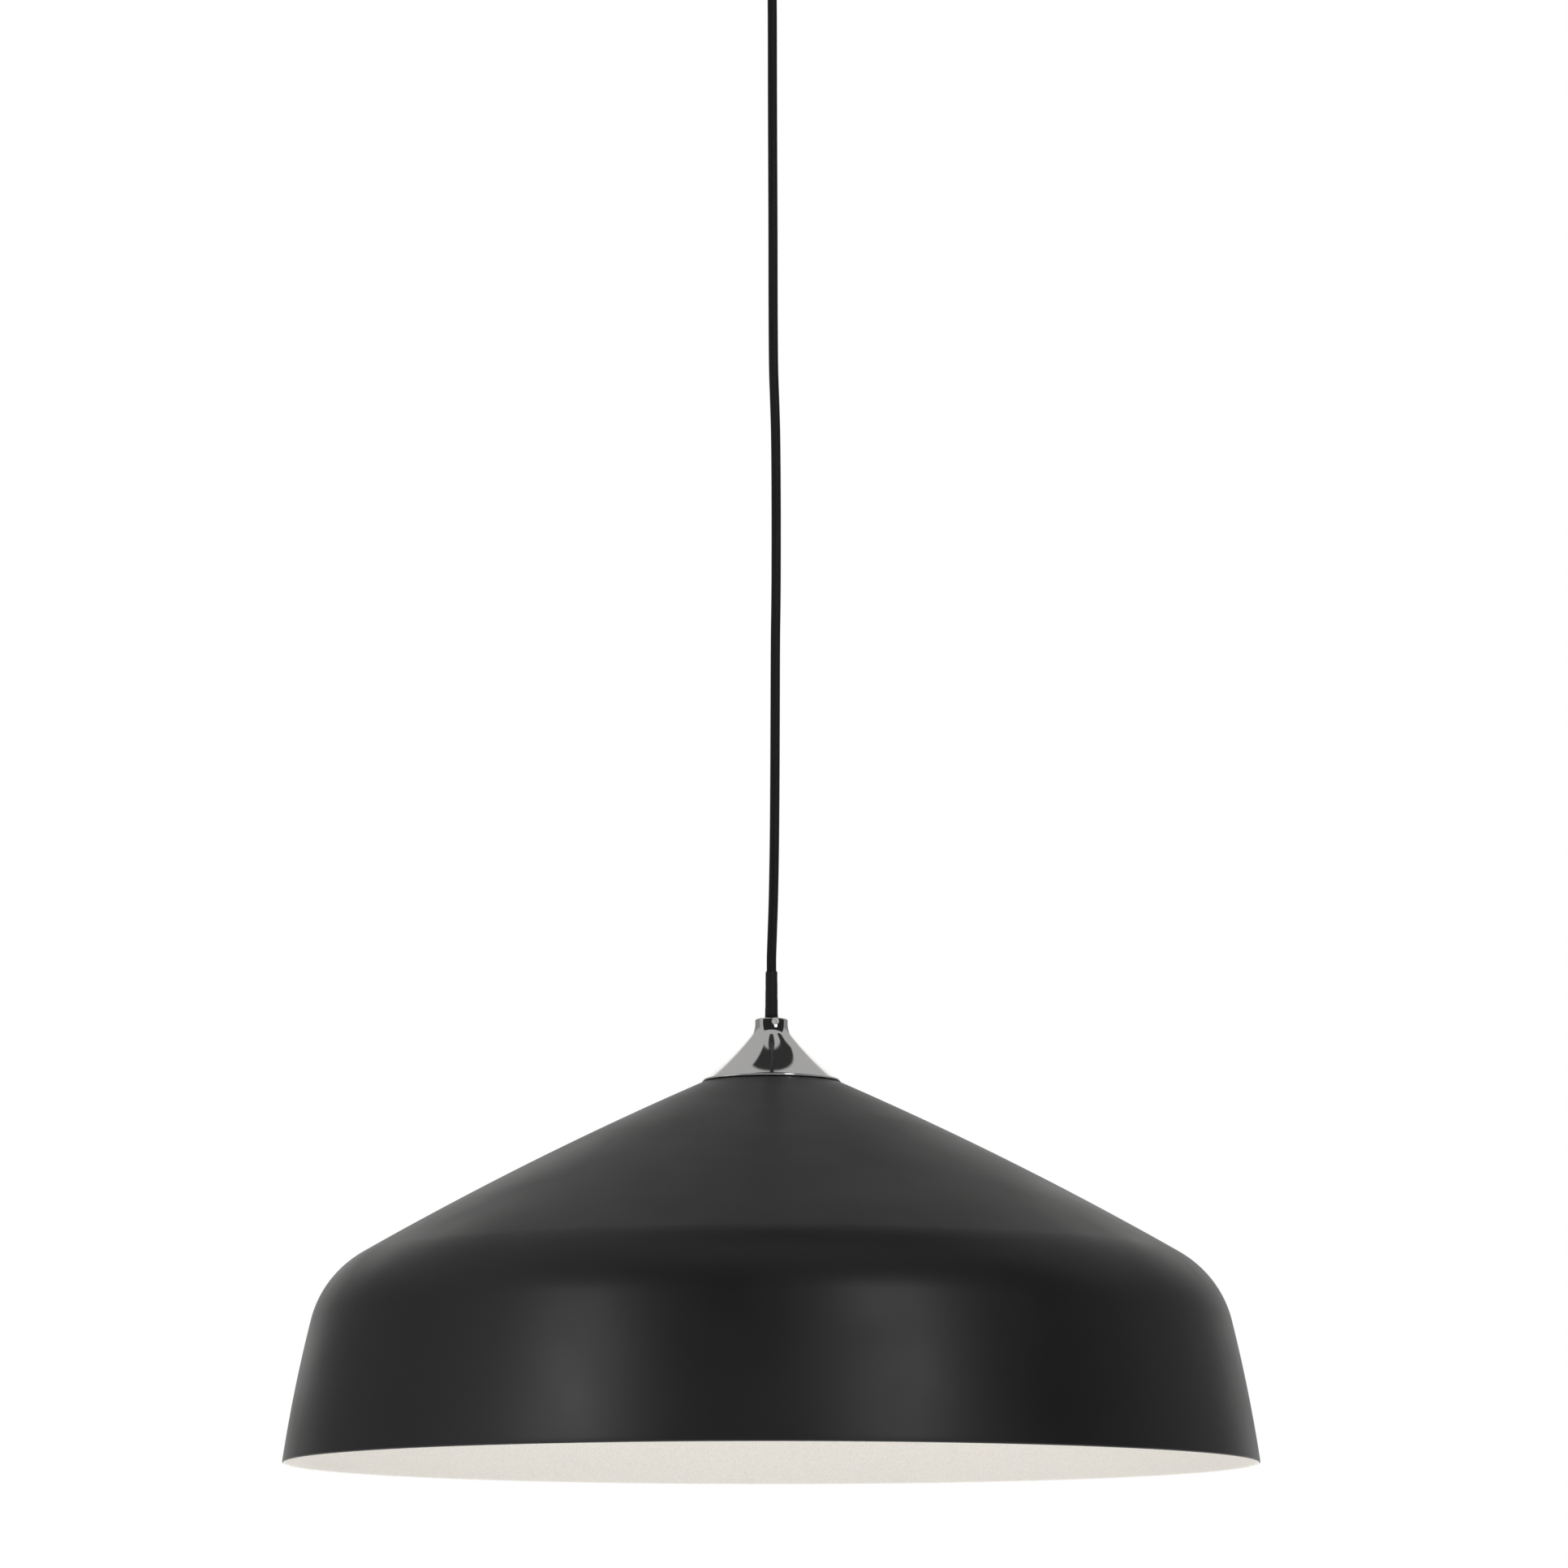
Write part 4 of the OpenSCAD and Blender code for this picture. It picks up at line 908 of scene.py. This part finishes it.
# %% Finish the rest
KEPT = {
    zinc: ["ceiling_bracket", "bush_nut", "clamp_screws", "terminal_screws",
           "terminal_fixing_screw", "shade_washer", "holder_lock_screw", "holder_terminal_screws"],
    brass: ["terminal_inserts", "hollow_nipple", "shade_nut", "holder_terminals",
            "centre_contact"],
    black_coat: ["canopy_side_screws"],
    ivory_moulding: ["clamp_base", "clamp_saddle"],
    white_moulding: ["terminal_block"],
    jacket: ["canopy_cord", "cord_bend", "head_cord"],
    core_colours: ["canopy_core_wires", "holder_core_wires"],
    glazed: ["contact_block"],
    nickel: ["bulb_tip_contact"],
    white_board: ["led_board"],
    phosphor: ["led_chips"],
    green_board: ["driver_board"],
}
for material, names in KEPT.items():
    for name in names:
        dress(bpy.data.objects[name], material)

print(sum(len(names) for names in KEPT.values()), "pieces kept and finished")

# %% [markdown]
# ## Studio
#
# The room is a sphere of light. The camera sees it as plain white. Everything else
# sees a studio: soft grey above and all round, white below, a dim wall with a white
# middle straight behind the light, a dark opening behind the camera with one soft
# lamp in it, and dark panels overhead. The chrome shows these, and the paint shows
# them blurred. Lamp and board objects could do it too, but as patches of one sky
# each is a line or two, and none can stand in the camera's way. Directions are split
# into a turn round the upright axis, 0 towards the camera and positive to the
# right, and a height above the horizon, both in degrees.

# %% Studio light


class Sky:
    """Builds a world out of soft-edged patches of light on the sphere."""

    def __init__(self):
        world = bpy.data.worlds.new("studio")
        world.use_nodes = True
        bpy.context.scene.world = world
        self.tree = world.node_tree
        self.tree.nodes.clear()
        place = self.tree.nodes.new("ShaderNodeTexCoord")
        split = self.tree.nodes.new("ShaderNodeSeparateXYZ")
        self.tree.links.new(place.outputs["Generated"], split.inputs["Vector"])
        self.x, self.y, z = split.outputs
        turn = self.math("ARCTAN2", self.x, self.math("MULTIPLY", self.y, -1.0))
        self.turn = self.math("MULTIPLY", turn, 180 / math.pi)
        self.height = self.math("MULTIPLY", self.math("ARCSINE", z), 180 / math.pi)

    def math(self, operation, first, second=None):
        """One sum, on sockets or plain numbers."""
        node = self.tree.nodes.new("ShaderNodeMath")
        node.operation = operation
        for socket, value in zip(node.inputs, (first, second)):
            if isinstance(value, (int, float)):
                socket.default_value = value
            elif value is not None:
                self.tree.links.new(value, socket)
        return node.outputs[0]

    def inside(self, value, low, high, soft):
        """1 between low and high, easing to 0 over a width of `soft` outside."""
        middle, half = (low + high) / 2, (high - low) / 2
        away = self.math("ABSOLUTE", self.math("SUBTRACT", value, middle))
        node = self.tree.nodes.new("ShaderNodeMapRange")
        node.interpolation_type = "SMOOTHSTEP"
        node.inputs["From Min"].default_value = half
        node.inputs["From Max"].default_value = half + soft
        node.inputs["To Min"].default_value = 1.0
        node.inputs["To Max"].default_value = 0.0
        self.tree.links.new(away, node.inputs["Value"])
        return node.outputs["Result"]

    def behind(self, half, soft):
        """1 within half degrees of straight behind the light."""
        return self.inside(self.math("ABSOLUTE", self.turn), 180 - half, 180 + half, soft)

    def lamp(self, turn, height, half, soft):
        """1 within half degrees of a direction, in turn and in height."""
        return self.both(self.inside(self.turn, turn - half, turn + half, soft),
                         self.inside(self.height, height - half, height + half, soft))

    def patch(self, base, mask, level):
        """Light of `level` where the mask is 1, and the light so far elsewhere."""
        node = self.tree.nodes.new("ShaderNodeMix")
        node.data_type = "FLOAT"
        node.inputs["B"].default_value = level
        self.tree.links.new(mask, node.inputs["Factor"])
        if isinstance(base, float):
            node.inputs["A"].default_value = base
        else:
            self.tree.links.new(base, node.inputs["A"])
        return node.outputs["Result"]

    def both(self, first, second):
        """Where two masks meet: their product."""
        return self.math("MULTIPLY", first, second)

    def finish(self, light):
        """The light for everything but the camera, which sees plain white."""
        nodes, links = self.tree.nodes, self.tree.links
        room, plain = nodes.new("ShaderNodeBackground"), nodes.new("ShaderNodeBackground")
        plain.inputs["Color"].default_value = (1, 1, 1, 1)
        room.inputs["Color"].default_value = (1.0, 0.99, 0.975, 1)
        links.new(light, room.inputs["Strength"])
        seen, pick = nodes.new("ShaderNodeLightPath"), nodes.new("ShaderNodeMixShader")
        out = nodes.new("ShaderNodeOutputWorld")
        links.new(seen.outputs["Is Camera Ray"], pick.inputs["Fac"])
        links.new(room.outputs["Background"], pick.inputs[1])
        links.new(plain.outputs["Background"], pick.inputs[2])
        links.new(pick.outputs["Shader"], out.inputs["Surface"])


GREY, WHITE, DIM, DARK, PANEL, LAMP = 0.4, 1.0, 0.24, 0.02, 0.03, 7.0

sky = Sky()
low_down = sky.inside(sky.height, -12, 24, 10)
light = sky.patch(GREY, sky.inside(sky.height, -90, -12, 10), WHITE)
light = sky.patch(light, sky.both(sky.behind(88, 10), low_down), DIM)
light = sky.patch(light, sky.both(sky.behind(26, 12), low_down), WHITE)
light = sky.patch(light, sky.both(sky.inside(sky.turn, -58, 92, 6),
                                  sky.inside(sky.height, -4, 52, 6)), DARK)
overhead = sky.inside(sky.height, 40, 90, 5)
for left, right, near, far in ((-0.2, 0.4, 0.14, 0.38), (-0.04, 0.04, -0.02, 0.2),
                               (0.3, 0.4, -0.02, 0.2)):
    panel = sky.both(sky.inside(sky.x, left, right, 0.03),
                     sky.inside(sky.y, near, far, 0.04))
    light = sky.patch(light, sky.both(panel, overhead), PANEL)
light = sky.patch(light, sky.lamp(31, 26, 5, 5), LAMP)
sky.finish(light)

print(len(sky.tree.nodes), "nodes make the studio")

# %% [markdown]
# A second, weaker lamp stands to the left. It has a grid, so its light leaves in a
# narrow cone that falls on the shade's skirt and passes below the chrome, where it
# would leave a bright dot of its own. A patch of sky can't do that: it shines on
# everything. The lamp needs far less than a watt, because all of it goes into that
# cone.

# %% Gridded lamp
LAMP_WIDTH, LAMP_POWER, LAMP_CONE = 0.2, 0.015, 8

lamp_at = np.array([-1.11, -1.10, -0.07])
lamp_aim = np.array([-0.075, -0.181, -0.69])
grid_data = bpy.data.lights.new("gridded_lamp", "AREA")
grid_data.shape = "DISK"
grid_data.size = LAMP_WIDTH
grid_data.energy = LAMP_POWER
grid_data.spread = math.radians(LAMP_CONE)
grid_lamp = bpy.data.objects.new("gridded_lamp", grid_data)
grid_lamp.location = lamp_at
grid_lamp.rotation_euler = Vector(lamp_aim - lamp_at).to_track_quat("-Z", "Y").to_euler()
bpy.context.scene.collection.objects.link(grid_lamp)

print(f"gridded lamp {np.linalg.norm(lamp_aim - lamp_at):.2f} m from the skirt")

# %% [markdown]
# The floor, 2.6 m below the ceiling, is a pale table lit from inside. It sends light
# up into the shade. It isn't seen by the camera, which looks up past it.

# %% Floor and view
FLOOR_HALF, FLOOR_Z = 6, -2.6
corners = np.array([(-1, -1), (1, -1), (1, 1), (-1, 1)]) * FLOOR_HALF
floor = new_piece("studio_floor", np.column_stack([corners, np.full(4, FLOOR_Z)]), [[0, 1, 2, 3]])
pale, _, _ = finish("pale_floor", (0.85, 0.85, 0.84), 0.7, Emission_Color=(1, 1, 1, 1),
                    Emission_Strength=0.8)
dress(floor, pale)
floor.visible_camera = False
bpy.context.scene.view_settings.view_transform = "Standard"

print("floor at", FLOOR_Z, "m")
